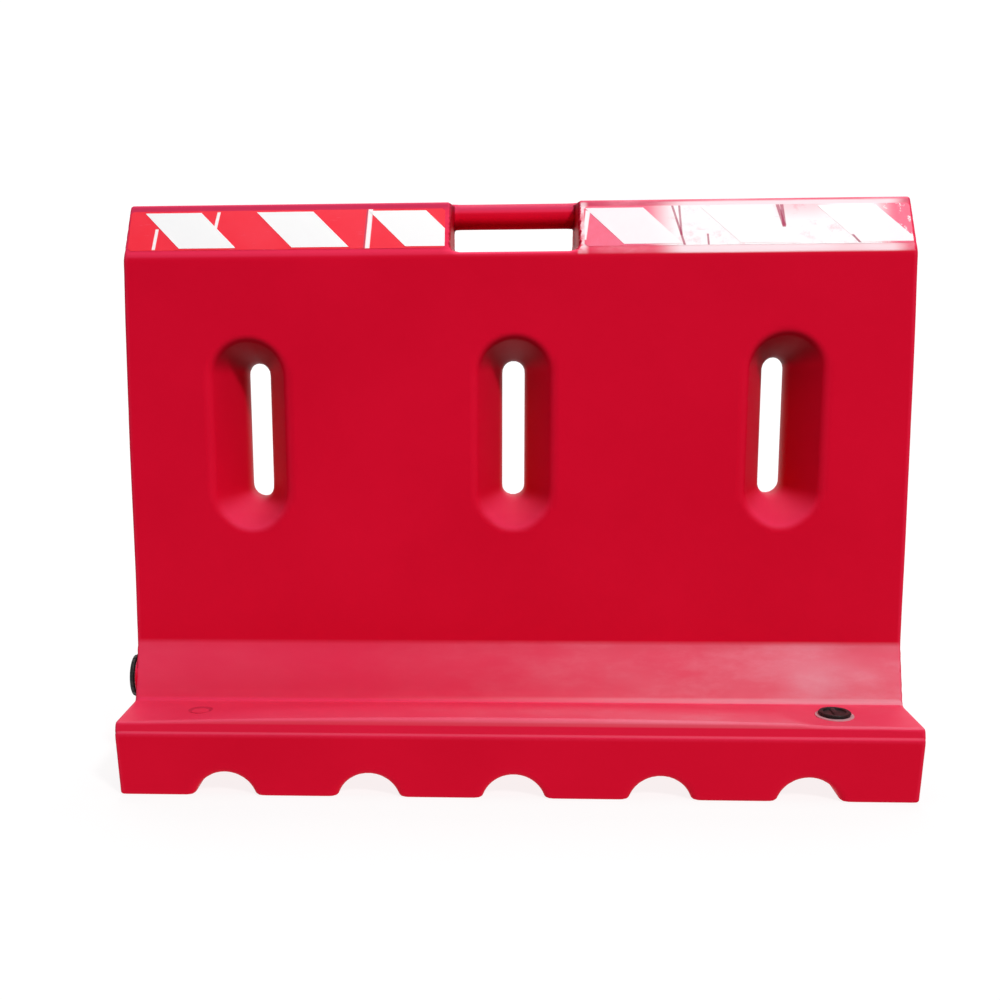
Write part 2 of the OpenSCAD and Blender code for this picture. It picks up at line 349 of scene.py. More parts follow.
@dataclass(frozen=True)
class MouldedPlastic:
    """Satin red moulded polyethylene: mottled, faded on top with painted top light, dusty where it
    lies flat, with painted highlights on edges and painted shade under overhangs.
    """

    name: str = "moulded_red_plastic"
    deep: Colour = srgb(209, 8, 40)
    light: Colour = srgb(223, 13, 48)
    # faded is the sun-faded red; it also paints light on tops, in the funnel bowls, on the plinth's
    # band and on edges.
    faded: Colour = srgb(244, 58, 98)
    weathered: Colour = srgb(168, 44, 78)
    bleached: Colour = srgb(255, 226, 232)
    # dust is also the colour of the painted highlights along the ledge's lip and the plinth's step.
    dust: Colour = srgb(246, 158, 174)
    seat: Pair = BLANK_SEAT
    # Dark red for painted shade and for darker marks.
    shade_and_mark_red: Colour = srgb(104, 0, 6)
    ramp_line: float = 0.1350
    lip_line: float = 0.2440
    step_line: float = 0.1000
    window_corner: float = 0.0955
    seat_r: float = 0.0160

    def sun_faded_and_lit(self, kit: ShaderKit, marks: MouldingMarks) -> Wire:
        """The plastic's own red, mottled, and paler on faces that look up, which is sun fading and
        painted top light together, with painted light in the funnel bowls and on the plinth's band.

        Args:
            kit: The material being built.
            marks: Where each point of the moulding is.

        Returns:
            The colour.
        """
        z, up, cloud = marks.z, marks.up, marks.cloud
        body = kit.mixed((cloud * 1.4 - 0.2).clamped(), self.deep, self.light)
        # Faces that look up, and the ramp, are paler: sun fading, with painted top light and
        # painted sky reflection as well.
        sun_faded_and_lit = up.ramp(0.1, 0.8) * 0.8 + marks.ramp_zone * 0.55
        # Painted light: hollows that look up, such as the funnel bowls, are paler.
        sun_faded_and_lit = sun_faded_and_lit + marks.hollow.ramp(0.3, 0.9) * up.ramp(0.05, 0.4) * 0.35
        body = kit.mixed((sun_faded_and_lit * (0.8 + cloud * 0.4)).clamped(), body, self.faded)
        ridge = z.ramp(0.866, 0.873) * (0.75 + marks.streak * 0.35)
        body = kit.mixed(ridge.clamped(), body, self.weathered)
        # Painted light: the plinth's band under the ledge is paler than the wall below.
        painted_band_light = z.between(0.1005, 0.1030, 0.130, 0.135) * up.ramp(0.7, 0.3) * 0.2
        # The roof's slopes are paler too: sun fading and painted top light together.
        roof = marks.roof * up.ramp(0.2, 0.35) * 0.35
        return kit.mixed(painted_band_light + roof, body, self.faded)

    def dust_and_edge_highlights(self, marks: MouldingMarks) -> Wire:
        """How much dust lies on the ramp and the ledge, and where painted highlights, with some
        rubbed wear, run along the ledge's lip and the plinth's step.

        Args:
            marks: Where each point of the moulding is.

        Returns:
            The amount, from 0 to about 1.
        """
        x, y, z, to_right, wiped = marks.x, marks.y, marks.z, marks.to_right, marks.wiped
        patch = x.between(0.38, 0.46, 0.53, 0.60) * z.ramp(0.200, 0.165)
        on_ramp = marks.ramp_zone * (0.06 + to_right * 0.5 + patch * 0.3)
        on_ramp = on_ramp * (0.45 + marks.haze * 0.5)
        on_ramp = on_ramp + marks.ramp_zone * (0.1 + to_right) * wiped * 0.22
        on_ledge = marks.up.ramp(0.8, 0.98) * marks.low * (0.03 + to_right * 0.1)
        on_ledge = on_ledge * (0.6 + wiped * 0.8)
        off = abs(y)
        foot = off.near(self.ramp_line, 0.0030, 0.0014) * z.between(0.1125, 0.1145, 0.124, 0.128)
        # Painted highlight along the ledge's outer edge, together with rubbed wear.
        lip_wear_and_highlight = off.near(self.lip_line, 0.0030, 0.0012) * z.ramp(0.1125, 0.1145)
        # Painted highlight along the plinth's step.
        step = z.near(self.step_line, 0.0022, 0.0008) * off.ramp(0.2465, 0.2475)
        # The foot line is dust in the fillet; the lip and step lines are painted highlights.
        lines = foot * to_right * 0.7 + lip_wear_and_highlight * (0.16 + to_right * 0.18) + step * 0.1
        return on_ramp + on_ledge + lines

    def roof_dust(self, kit: ShaderKit, marks: MouldingMarks, body: Wire) -> Wire:
        """Adds the pink and white bloom of the front roof's right half.

        Args:
            kit: The material being built.
            marks: Where each point of the moulding is.
            body: The colour so far.

        Returns:
            The colour with the bloom.
        """
        x, z, wiped = marks.x, marks.z, marks.wiped
        on_roof = marks.roof * marks.y.ramp(-0.05, -0.06) * abs(marks.across).ramp(0.35, 0.12)
        pinked = on_roof * x.ramp(0.08, 0.16) * (0.3 + wiped * 0.5)
        body = kit.mixed(pinked.clamped(), body, self.dust)
        whitened = on_roof * x.between(0.20, 0.26, 0.55, 0.58) * (0.75 + marks.haze * 0.5)
        corner_wear = on_roof * x.between(0.092, 0.096, 0.104, 0.112) * (0.3 + wiped)
        whitened = (whitened + corner_wear) * z.ramp(0.878, 0.874)
        return kit.mixed(whitened.clamped(), body, self.bleached)

    def shade_and_dark_marks(self, marks: MouldingMarks) -> Wire:
        """How much the red is darkened: painted shade on faces that look down, on the window's side
        walls and towards the right of upright faces, with darker streaks in hollows, a darker ring
        round the blank seat and a darker plinth.

        Args:
            marks: Where each point of the moulding is.

        Returns:
            The amount, from 0 to about 1.
        """
        x, y, z, up = marks.x, marks.y, marks.z, marks.up
        # Darker streaks in the hollows above about 0.2 m.
        hollow_streaks = marks.hollow.ramp(0.1, 0.8) * z.ramp(0.18, 0.22)
        hollow_streaks = hollow_streaks * marks.streak.ramp(0.35, 0.7) * 0.3
        # Painted shade: faces that look down, such as the bar's underside, are darker.
        under = up.ramp(-0.05, -0.7) * z.ramp(0.2, 0.3) * 0.75
        # Painted shadow down the window's side walls.
        corner = abs(x).near(self.window_corner, 0.0070, 0.0035) * z.ramp(0.800, 0.806)
        corner = corner * abs(marks.across).ramp(0.3, 0.6)
        from_seat = ((x - self.seat[0]) ** 2.0 + (y - self.seat[1]) ** 2.0) ** 0.5
        # A darker ring round the blank seat's rim.
        ring = from_seat.near(self.seat_r, 0.0040, 0.0015) * marks.low * 0.3
        # Painted shade: upright faces darker towards the right.
        upright = (1 - up.ramp(0.1, 0.3)) * marks.to_right * 0.07
        # The plinth below the step is darker.
        plinth = z.ramp(0.1015, 0.0985) * 0.07
        return hollow_streaks + under + ring + corner * 0.55 + upright + plinth

    def build(self) -> bpy.types.Material:
        """Builds the material.

        Returns:
            The finished material.
        """
        kit = ShaderKit(self.name)
        marks = MouldingMarks(kit)
        # The dust amount also carries the painted edge highlights.
        dust = self.dust_and_edge_highlights(marks)
        body = kit.mixed(dust.clamped(), self.sun_faded_and_lit(kit, marks), self.dust)
        body = self.roof_dust(kit, marks, body)
        # Darkens the red with painted shade and darker marks.
        body = kit.mixed(self.shade_and_dark_marks(marks).clamped(), body, self.shade_and_mark_red)
        # Edges that do not look down are paler: rubbed wear with a painted edge highlight.
        rubbed_and_highlit_edges = marks.edge.ramp(0.2, 0.8) * (0.35 + marks.speck * 0.5) * marks.up.ramp(-0.2, 0.1)
        body = kit.mixed((rubbed_and_highlit_edges * 0.35).clamped(), body, self.faded)
        rough = 0.42 + marks.cloud * 0.08 + dust * 0.3 + (marks.speck - 0.5) * 0.06
        grain = kit.noise(420.0, 2.0, 0.5) * 0.6 + kit.noise(95.0, 2.0, 0.5) * 0.4
        scratch = kit.noise(60.0, 3.0, 0.6, kit.place((0.12, 1.0, 6.0), 0.35)).ramp(0.62, 0.7)
        return kit.finish(
            {
                "Base Color": body,
                "Roughness": rough.clamped(),
                "Normal": kit.bump(grain - scratch * 0.25, 0.22, 0.0006),
                "Specular IOR Level": 0.06,
                "Specular Tint": (1.0, 0.35, 0.42),
            }
        )


@dataclass(frozen=True)
class Stroke:
    """A narrow mark on the front roof, from one (x, z) point to another, in metres."""

    top: Pair
    foot: Pair
    width: float

    def mask(self, x: Wire, z: Wire) -> Wire:
        """Where the mark is, from 0 to 1.

        Args:
            x: Place along the barrier.
            z: Height.

        Returns:
            The mark's strength.
        """
        (x0, z0), (x1, z1) = self.top, self.foot
        lean = (x1 - x0) / (z1 - z0)
        off = abs(x - (z - z0) * lean - x0)
        across = off.ramp(self.width * 0.6, self.width * 0.35)
        return across * z.ramp(z1 - 0.001, z1 + 0.001) * z.ramp(z0 + 0.001, z0 - 0.001)


@dataclass(frozen=True)
class ReflectiveFilm:
    """Glossy beaded film with cuts, scratches and a bleached stretch at its right end."""

    name: str
    colour: Colour
    faded: Colour
    bleached: Colour = srgb(255, 246, 248)
    tear: Colour = srgb(176, 70, 100)
    cuts: tuple[Stroke, ...] = (
        Stroke((-0.448, 0.868), (-0.452, 0.842), 0.0050),
        Stroke((-0.541, 0.843), (-0.544, 0.812), 0.0050),
        Stroke((-0.2165, 0.870), (-0.220, 0.811), 0.0070),
        Stroke((0.110, 0.864), (0.103, 0.820), 0.0070),
    )
    tears: tuple[Stroke, ...] = (
        Stroke((0.235, 0.870), (0.251, 0.811), 0.0036),
        Stroke((0.2455, 0.870), (0.247, 0.826), 0.0034),
        Stroke((0.390, 0.870), (0.398, 0.836), 0.0054),
        Stroke((0.3965, 0.870), (0.3985, 0.838), 0.0054),
        Stroke((0.2855, 0.827), (0.286, 0.811), 0.0030),
        Stroke((0.496, 0.824), (0.506, 0.812), 0.0040),
        Stroke((-0.2215, 0.870), (-0.225, 0.811), 0.0020),
    )

    def build(self) -> bpy.types.Material:
        """Builds the material.

        Returns:
            The finished material.
        """
        kit = ShaderKit(self.name)
        x, y, z = kit.axes(kit.place())
        front = y.ramp(0.02, -0.02)
        cloud = kit.noise(12.0, 4.0, 0.6)
        flecks = kit.noise(70.0, 5.0, 0.75)
        tone = kit.mixed((cloud * 0.16).clamped(), self.colour, self.faded)
        hazy = x.ramp(0.06, 0.12) * front * (0.55 + flecks * 0.5)
        tone = kit.mixed(hazy.clamped(), tone, self.faded)
        patchy = kit.noise(26.0, 6.0, 0.75).ramp(0.25, 0.5)
        pale = x.between(0.190, 0.245, 0.52, 0.565) * (0.55 + patchy * 0.45)
        upper = z.ramp(0.84, 0.87) * x.between(0.38, 0.40, 0.44, 0.48)
        pale = pale - upper * 0.35
        spots = flecks.ramp(0.56, 0.64) * x.ramp(0.50, 0.57)
        tone = kit.mixed(((pale + spots) * front).clamped(), tone, self.bleached)
        scratch = kit.noise(70.0, 3.0, 0.6, kit.place((0.5, 1.0, 5.0), 0.8)).ramp(0.66, 0.7)
        tone = kit.mixed((scratch * 0.2).clamped(), tone, self.faded)
        cut = sum((stroke.mask(x, z) for stroke in self.cuts[1:]), self.cuts[0].mask(x, z))
        tone = kit.mixed((cut * front).clamped(), tone, self.bleached)
        torn = sum((stroke.mask(x, z) for stroke in self.tears[1:]), self.tears[0].mask(x, z))
        tone = kit.mixed((torn * front * (0.5 + flecks * 0.6)).clamped(), tone, self.tear)
        rough = 0.30 + cloud * 0.12 + scratch * 0.25 + torn * 0.2
        height = kit.cells(900.0) - cut * 0.8 - torn + scratch * 0.3
        return kit.finish(
            {
                "Base Color": tone,
                "Roughness": rough.clamped(),
                "Normal": kit.bump(height, 0.12, 0.0003),
                "Specular IOR Level": 0.3,
                "Coat Weight": 0.12,
                "Coat Roughness": 0.15,
            }
        )


@dataclass(frozen=True)
class FineMoulding:
    """Small moulded parts: an even colour with soft mottling, dust and a fine grain."""

    name: str
    colour: Colour
    dust: Colour
    roughness: float = 0.4
    dustiness: float = 0.3

    def build(self) -> bpy.types.Material:
        """Builds the material.

        Returns:
            The finished material.
        """
        kit = ShaderKit(self.name)
        cloud = kit.noise(60.0, 4.0, 0.6)
        settled = kit.facing()[2].ramp(0.3, 0.95) * kit.noise(240.0, 4.0, 0.7).ramp(0.4, 0.7)
        dusted = (settled * self.dustiness + cloud * 0.06).clamped()
        tone = kit.mixed(dusted, self.colour, self.dust)
        rough = self.roughness + cloud * 0.12 + settled * 0.2
        return kit.finish(
            {
                "Base Color": tone,
                "Roughness": rough.clamped(),
                "Normal": kit.bump(kit.noise(900.0, 2.0, 0.5), 0.15, 0.0003),
            }
        )


@dataclass(frozen=True)
class PlainStudio:
    """A plain matt studio surface, which can be lit from below like a light table."""

    name: str
    colour: Colour
    glow: float = 0.0

    def build(self) -> bpy.types.Material:
        """Builds the material.

        Returns:
            The finished material.
        """
        kit = ShaderKit(self.name)
        return kit.finish(
            {
                "Base Color": self.colour,
                "Roughness": 0.9,
                "Specular IOR Level": 0.0,
                "Emission Color": (1.0, 1.0, 1.0),
                "Emission Strength": self.glow,
            }
        )


# Shapes


def soft_max(a: np.ndarray, b: np.ndarray, width: float) -> np.ndarray:
    """The larger of two distances, blended over a width, so an outer edge is rounded."""
    near = np.maximum(width - np.abs(a - b), 0.0) / width
    return np.maximum(a, b) + near * near * width * 0.25


def soft_min(a: np.ndarray, b: np.ndarray, width: float) -> np.ndarray:
    """The smaller of two distances, blended over a width, so an inner edge is rounded."""
    return -soft_max(-a, -b, width)


def past_line(u: np.ndarray, v: np.ndarray, a: Pair, b: Pair) -> np.ndarray:
    """Distance past the line from a up to b, positive on the side of larger u."""
    du, dv = b[0] - a[0], b[1] - a[1]
    return ((u - a[0]) * dv - (v - a[1]) * du) / np.hypot(du, dv)


def gradient(distance: Distance, points: np.ndarray, step: float = 0.0004) -> np.ndarray:
    """The unit outward direction at each point.

    Args:
        distance: Gives the distance of an array of points.
        points: The points, with X, Y and Z last.
        step: How far to each side the distance is read.

    Returns:
        Unit vectors, one to a point.
    """
    parts = []
    for axis in range(3):
        shift = np.zeros(3)
        shift[axis] = step
        parts.append(distance(points + shift) - distance(points - shift))
    slope = np.stack(parts, -1)
    return slope / np.maximum(np.linalg.norm(slope, axis=-1, keepdims=True), 1e-12)


def settle(distance: Distance, points: np.ndarray, rounds: int = 4) -> np.ndarray:
    """Moves points onto the surface where the distance is zero.

    Args:
        distance: Gives the distance of an array of points.
        points: The points, with X, Y and Z last.
        rounds: How many times they are moved.

    Returns:
        The moved points.
    """
    for _ in range(rounds):
        points = points - distance(points)[..., None] * gradient(distance, points)
    return points


def surface_net(
    distance: Distance, lines: tuple[np.ndarray, np.ndarray, np.ndarray]
) -> tuple[np.ndarray, np.ndarray]:
    """Skins the zero surface of a distance over a graded grid.

    Args:
        distance: Gives the distance of an array of points.
        lines: The grid's line places along X, Y and Z.

    Returns:
        The vertices, and the quads that join them, facing out.
    """
    grid = np.stack(np.meshgrid(*lines, indexing="ij"), -1)
    values = distance(grid)
    inside = values < 0
    size = inside.shape
    filled = sum(
        inside[i : size[0] - 1 + i, j : size[1] - 1 + j, k : size[2] - 1 + k].astype(int)
        for i in (0, 1)
        for j in (0, 1)
        for k in (0, 1)
    )
    cells = np.argwhere((filled > 0) & (filled < 8))
    number = np.full(filled.shape, -1)
    number[tuple(cells.T)] = np.arange(len(cells))
    total, hits = np.zeros((len(cells), 3)), np.zeros((len(cells), 1))
    for axis in range(3):
        along = np.eye(3, dtype=int)[axis]
        side, other = (np.eye(3, dtype=int)[(axis + n) % 3] for n in (1, 2))
        for start in (0 * side, side, other, side + other):
            near, far = tuple((cells + start).T), tuple((cells + start + along).T)
            v0, v1 = values[near], values[far]
            crossed = ((v0 < 0) != (v1 < 0))[:, None]
            part = np.where(crossed, (v0 / np.where(v0 == v1, 1.0, v0 - v1))[:, None], 0.0)
            total += crossed * (grid[near] + part * (grid[far] - grid[near]))
            hits += crossed
    quads = []
    for axis in range(3):
        low = np.take(inside, range(size[axis] - 1), axis)
        high = np.take(inside, range(1, size[axis]), axis)
        side, other = (np.eye(3, dtype=int)[(axis + n) % 3] for n in (1, 2))
        for outward, changed in ((True, low & ~high), (False, ~low & high)):
            edges = np.argwhere(changed)
            ring = [edges - side - other, edges - other, edges, edges - side]
            quad = np.stack([number[tuple(corner.T)] for corner in ring], -1)
            quads.append(quad if outward else quad[:, ::-1])
    return total / hits, np.concatenate(quads)


def graded(*stretches: tuple[float, float, float]) -> np.ndarray:
    """Line places over stretches that are given in millimetres.

    Args:
        stretches: Each stretch's start, end and spacing.

    Returns:
        The places of the lines.
    """
    places = [
        np.linspace(a, b, max(1, round((b - a) / step)), endpoint=False)
        for a, b, step in stretches
    ]
    return np.concatenate([*places, [stretches[-1][1]]]) / 1000.0


def mirrored(half: np.ndarray) -> np.ndarray:
    """Line places on both sides of zero, from those on the positive side."""
    return np.concatenate([-half[half > 0][::-1], half])


@dataclass(frozen=True)
class BarrierForm:
    """The moulding's outer surface as a distance, in metres, negative inside."""

    wall: float = 0.004
    height: float = 0.880
    eaves: float = 0.800
    panel: float = 0.109
    ridge: float = 0.063
    ledge: float = 0.116
    ramp_top: float = 0.206
    ramp_foot: float = 0.135
    plinth_foot: float = 0.246
    plinth_wall: Pair = (0.250, 0.100)
    step: Pair = (0.2475, 0.2460)
    ends: tuple[Pair, ...] = (
        (0.0, 0.5965), (0.100, 0.600), (0.116, 0.599), (0.206, 0.598), (0.500, 0.5950),
        (0.800, 0.5895), (0.880, 0.5865),
    )
    slots: tuple[Pair, ...] = ((-0.406, 0.529), (0.0, 0.5305), (0.406, 0.5335))
    slot_run: float = 0.090
    throat_r: float = 0.0175
    throat_y: float = 0.015
    funnel_r: float = 0.058
    funnel_lift: float = 0.005
    funnel_foot: float = 0.445
    funnel_fade: float = 0.040
    channels: tuple[float, ...] = (-0.436, -0.218, 0.0, 0.218, 0.436)
    channel_r: float = 0.048
    channel_sink: float = 0.012
    window_waist: float = 0.0935
    window_mouth: float = 0.096
    sill: float = 0.804
    bar_r: float = 0.0195
    seat: Pair = BLANK_SEAT
    fill_pad: Pair = FILL_AT[:2]
    crown: float = 0.0105
    crown_reach: float = 0.57
    pad_r: float = 0.036
    pad_fade: float = 0.050
    dimple_r: float = 0.0175
    dimple_wall: float = 0.003
    dimple_depth: float = 0.0022
    dent: float = 0.0008
    dent_from: Pair = (0.24, 0.08)
    dent_to: Pair = (0.775, 0.06)
    edge_soft: float = 0.005
    step_soft: float = 0.002
    roof_soft: float = 0.004
    foot_soft: float = 0.006
    end_soft: float = 0.006
    window_soft: Pair = (0.012, 0.004)
    bar_soft: float = 0.006
    ridge_soft: float = 0.002
    mouth_soft: float = 0.010
    throat_soft: float = 0.006
    channel_soft: float = 0.012

    def ledge_height(self, x: np.ndarray, y: np.ndarray) -> np.ndarray:
        """The ledge's height: its outer edge is bowed up, and it is flat at the fill plug.

        Args:
            x: Places along the barrier.
            y: Places front to back.

        Returns:
            The height at each place.
        """
        bow = np.clip(1 - (x / self.crown_reach) ** 2, 0, 1)
        out = np.clip((np.abs(y) - self.ramp_foot) / (self.step[1] - self.ramp_foot), 0, 1)
        pad = np.hypot(x - self.fill_pad[0], y - self.fill_pad[1])
        clear = np.clip((pad - self.pad_r) / self.pad_fade, 0, 1)
        return self.ledge + self.crown * bow * out * clear

    def section(self, x: np.ndarray, y: np.ndarray, z: np.ndarray) -> np.ndarray:
        """The cross-section: stepped plinth, ramp and panel, with soft inner edges.

        Args:
            x: Places along the barrier.
            y: Places front to back.
            z: Heights.

        Returns:
            The distance of each place from the cross-section.
        """
        ay = np.abs(y)
        top = self.ledge_height(x, y)
        step_z = self.plinth_wall[1]
        wall = past_line(ay, z, (self.plinth_foot, 0.0), self.plinth_wall)
        lower = soft_max(wall, z - step_z, self.edge_soft)
        rim = past_line(ay, z, (self.step[0], step_z), (self.step[1], self.ledge))
        rim = np.maximum(rim, ay - self.step[0] + 0.35 * np.clip(step_z - z, 0, 0.01))
        plinth = soft_min(lower, soft_max(rim, z - top, self.edge_soft), self.step_soft)
        ramp = past_line(ay, z, (self.ramp_foot, self.ledge), (self.panel, self.ramp_top))
        panel = soft_max(
            ay - self.panel,
            past_line(ay, z, (self.panel, self.eaves), (self.ridge, self.height)),
            self.roof_soft,
        )
        upright = soft_min(panel, ramp, self.edge_soft)
        upright = soft_max(upright, z - self.height, self.roof_soft)
        return soft_min(upright, plinth, self.foot_soft)

    def slot_gap(self, x: np.ndarray, ay: np.ndarray, z: np.ndarray) -> np.ndarray:
        """The three slots, each with a funnel at the front and the back.

        Args:
            x: Places along the barrier.
            ay: Distances from the middle plane.
            z: Heights.

        Returns:
            The distance from the slots, negative inside one.
        """
        reach = np.min(
            [
                np.hypot(x - u, np.maximum(np.abs(z - v) - self.slot_run, 0.0))
                for u, v in self.slots
            ],
            axis=0,
        )
        slope = (self.funnel_r - self.throat_r) / (self.panel - self.throat_y)
        throat = reach - self.throat_r
        funnel = (throat - slope * (ay - self.throat_y)) / math.hypot(1.0, slope)
        low = np.clip((self.funnel_foot - z) / self.funnel_fade, 0, 1)
        funnel = funnel + self.funnel_lift * low
        return soft_min(throat, funnel, self.throat_soft)

    def channel_gap(self, x: np.ndarray, z: np.ndarray) -> np.ndarray:
        """The half-round channels under the plinth."""
        off = np.min([np.abs(x - middle) for middle in self.channels], axis=0)
        return np.hypot(off, z + self.channel_sink) - self.channel_r

    def dents(self, x: np.ndarray, y: np.ndarray, z: np.ndarray) -> np.ndarray:
        """How far the big faces swell and sink, as they do when a moulding cools.

        Args:
            x: Places along the barrier.
            y: Places front to back.
            z: Heights.

        Returns:
            How far the surface stands out at each place.
        """
        (low, rise), (high, fall) = self.dent_from, self.dent_to
        flat = np.clip((z - low) / rise, 0, 1) * np.clip((high - z) / fall, 0, 1)
        swell = (
            np.sin(5.1 * x + 0.7) * np.sin(6.3 * z + 0.4)
            + 0.6 * np.sin(11.0 * x - 2.0 + np.sign(y)) * np.sin(9.0 * z + 1.9)
            + 0.35 * np.sin(23.0 * x + 1.0) * np.cos(19.0 * z)
        )
        return self.dent * flat * swell

    def distance(self, points: np.ndarray) -> np.ndarray:
        """Distance of each point from the outer surface.

        Args:
            points: The points, with X, Y and Z last.

        Returns:
            The distances, negative inside.
        """
        x, y, z = points[..., 0], points[..., 1], points[..., 2]
        ax, ay = np.abs(x), np.abs(y)
        places, reaches = zip(*self.ends)
        past_end = ax - np.interp(z, places, reaches)
        solid = soft_max(self.section(x, y, z), past_end, self.end_soft)
        solid = solid - self.dents(x, y, z)
        waist = self.window_waist + (self.window_mouth - self.window_waist) * ay / self.panel
        window = soft_max(ax - waist, self.sill - z, self.window_soft[0])
        solid = soft_max(solid, -window, self.window_soft[1])
        bar = np.hypot(y, z - self.height + self.bar_r) - self.bar_r
        solid = soft_min(solid, np.maximum(bar, ax - self.window_mouth), self.bar_soft)
        solid = soft_max(solid, z - self.height, self.ridge_soft)
        solid = soft_max(solid, -self.slot_gap(x, ay, z), self.mouth_soft)
        solid = soft_max(solid, -self.channel_gap(x, z), self.channel_soft)
        solid = soft_max(solid, -z, self.edge_soft)
        from_seat = np.hypot(x - self.seat[0], y - self.seat[1])
        dimple = np.clip((self.dimple_r - from_seat) / self.dimple_wall, 0, 1)
        dimple = dimple * (np.abs(z - self.ledge - 0.004) < 0.02)
        return solid + self.dimple_depth * dimple * dimple * (3 - 2 * dimple)

    def tank(self, points: np.ndarray) -> np.ndarray:
        """Distance from the tank's inner surface, positive inside the wall."""
        return -(self.distance(points) + self.wall)


# Mesh helpers


def to_object(
    name: str, vertices: np.ndarray, faces: np.ndarray | list, smooth: bool = True
) -> bpy.types.Object:
    """Makes a mesh object at the origin from arrays.

    Args:
        name: The object's name.
        vertices: Points in metres.
        faces: Vertex numbers of each face.
        smooth: Whether the faces are shaded smooth.

    Returns:
        The linked object.
    """
    mesh = bpy.data.meshes.new(name)
    mesh.from_pydata(np.asarray(vertices).tolist(), [], [list(map(int, f)) for f in faces])
    mesh.update()
    mesh.polygons.foreach_set("use_smooth", [smooth] * len(mesh.polygons))
    made = bpy.data.objects.new(name, mesh)
    bpy.context.scene.collection.objects.link(made)
    return made


def vertex_array(mesh: bpy.types.Mesh) -> np.ndarray:
    """The mesh's vertices as an array.

    Args:
        mesh: The mesh to read.

    Returns:
        One row of X, Y and Z to a vertex.
    """
    flat = np.empty(len(mesh.vertices) * 3)
    mesh.vertices.foreach_get("co", flat)
    return flat.reshape(-1, 3)


def bake_modifiers(piece: bpy.types.Object) -> None:
    """Turns a piece's modifiers into plain mesh.

    Args:
        piece: The object, whose mesh is replaced.
    """
    bpy.context.view_layer.update()
    evaluated = piece.evaluated_get(bpy.context.evaluated_depsgraph_get())
    mesh = bpy.data.meshes.new_from_object(evaluated)
    piece.modifiers.clear()
    piece.data = mesh


def joined(name: str, pieces: list[bpy.types.Object]) -> bpy.types.Object:
    """Runs several mesh objects at the origin into one, keeping their materials.

    Args:
        name: The new object's name.
        pieces: The objects, which are removed.

    Returns:
        The joined object.
    """
    shared = bmesh.new()
    materials: list[bpy.types.Material] = []
    for piece in pieces:
        for used in piece.data.materials:
            if used not in materials:
                materials.append(used)
        before = len(shared.faces)
        shared.from_mesh(piece.data)
        shared.faces.ensure_lookup_table()
        for f in shared.faces[before:]:
            if piece.data.materials:
                f.material_index = materials.index(piece.data.materials[f.material_index])
    mesh = bpy.data.meshes.new(name)
    shared.to_mesh(mesh)
    shared.free()
    for used in materials:
        mesh.materials.append(used)
    for piece in pieces:
        bpy.data.objects.remove(piece)
    made = bpy.data.objects.new(name, mesh)
    bpy.context.scene.collection.objects.link(made)
    return made


def lathed(name: str, profile: list[Pair], steps: int = 96) -> bpy.types.Object:
    """Turns a closed profile of (radius, height) points about Z.

    Args:
        name: The object's name.
        profile: The loop's points, anticlockwise with radius to the right.
        steps: How many steps the turn has.

    Returns:
        The ring as a closed mesh.
    """
    turns = np.linspace(0, 2 * math.pi, steps, endpoint=False)
    rings = np.array(
        [[(r * math.cos(a), r * math.sin(a), h) for r, h in profile] for a in turns]
    ).reshape(-1, 3)
    n = len(profile)
    pairs = [(i * n, (i + 1) % steps * n) for i in range(steps)]
    faces = [
        (here + j, ahead + j, ahead + (j + 1) % n, here + (j + 1) % n)
        for here, ahead in pairs
        for j in range(n)
    ]
    made = to_object(name, rings, faces)
    shape = bmesh.new()
    shape.from_mesh(made.data)
    bmesh.ops.remove_doubles(shape, verts=shape.verts, dist=1e-7)
    bmesh.ops.dissolve_degenerate(shape, edges=shape.edges, dist=1e-7)
    bmesh.ops.recalc_face_normals(shape, faces=shape.faces)
    shape.to_mesh(made.data)
    shape.free()
    return made


def rounded(loop: list[tuple[float, float, float]], steps: int = 5) -> list[Pair]:
    """Rounds each corner of a loop of (radius, height, corner radius) points.

    Args:
        loop: The corners.
        steps: How many steps each corner is rounded in.

    Returns:
        The (radius, height) points of the rounded loop.
    """
    points: list[Pair] = []
    for i, (u, v, r) in enumerate(loop):
        here = Vector((u, v))
        back = Vector(loop[i - 1][:2]) - here
        ahead = Vector(loop[(i + 1) % len(loop)][:2]) - here
        if r <= 0:
            points.append((u, v))
            continue
        half = back.angle(ahead) / 2
        cut = min(r / math.tan(half), back.length * 0.49, ahead.length * 0.49)
        a, c = here + back.normalized() * cut, here + ahead.normalized() * cut
        for s in range(steps + 1):
            t = s / steps
            points.append(tuple((1 - t) ** 2 * a + 2 * t * (1 - t) * here + t * t * c))
    return points


def angle_smooth(piece: bpy.types.Object, degrees: float = 40.0) -> None:
    """Shades a piece smooth, with edges sharper than an angle kept crisp."""
    piece.data.polygons.foreach_set("use_smooth", [True] * len(piece.data.polygons))
    piece.data.set_sharp_from_angle(angle=math.radians(degrees))


def fit_out(
    piece: bpy.types.Object, body: Body, replaced: tuple[str, ...] = ()
) -> bpy.types.Object:
    """Declares a finished piece to the frame.

    Args:
        piece: The finished object, at the origin.
        body: The body it rides on.
        replaced: The CAD nodes that it stands for.

    Returns:
        The same piece.
    """
    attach(piece, body.value)
    if replaced:
        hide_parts(*replaced)
    piece.data.calc_loop_triangles()
    LOG.info("%s: %d triangles on %s", piece.name, len(piece.data.loop_triangles), body.value)
    return piece


# Geometry Nodes


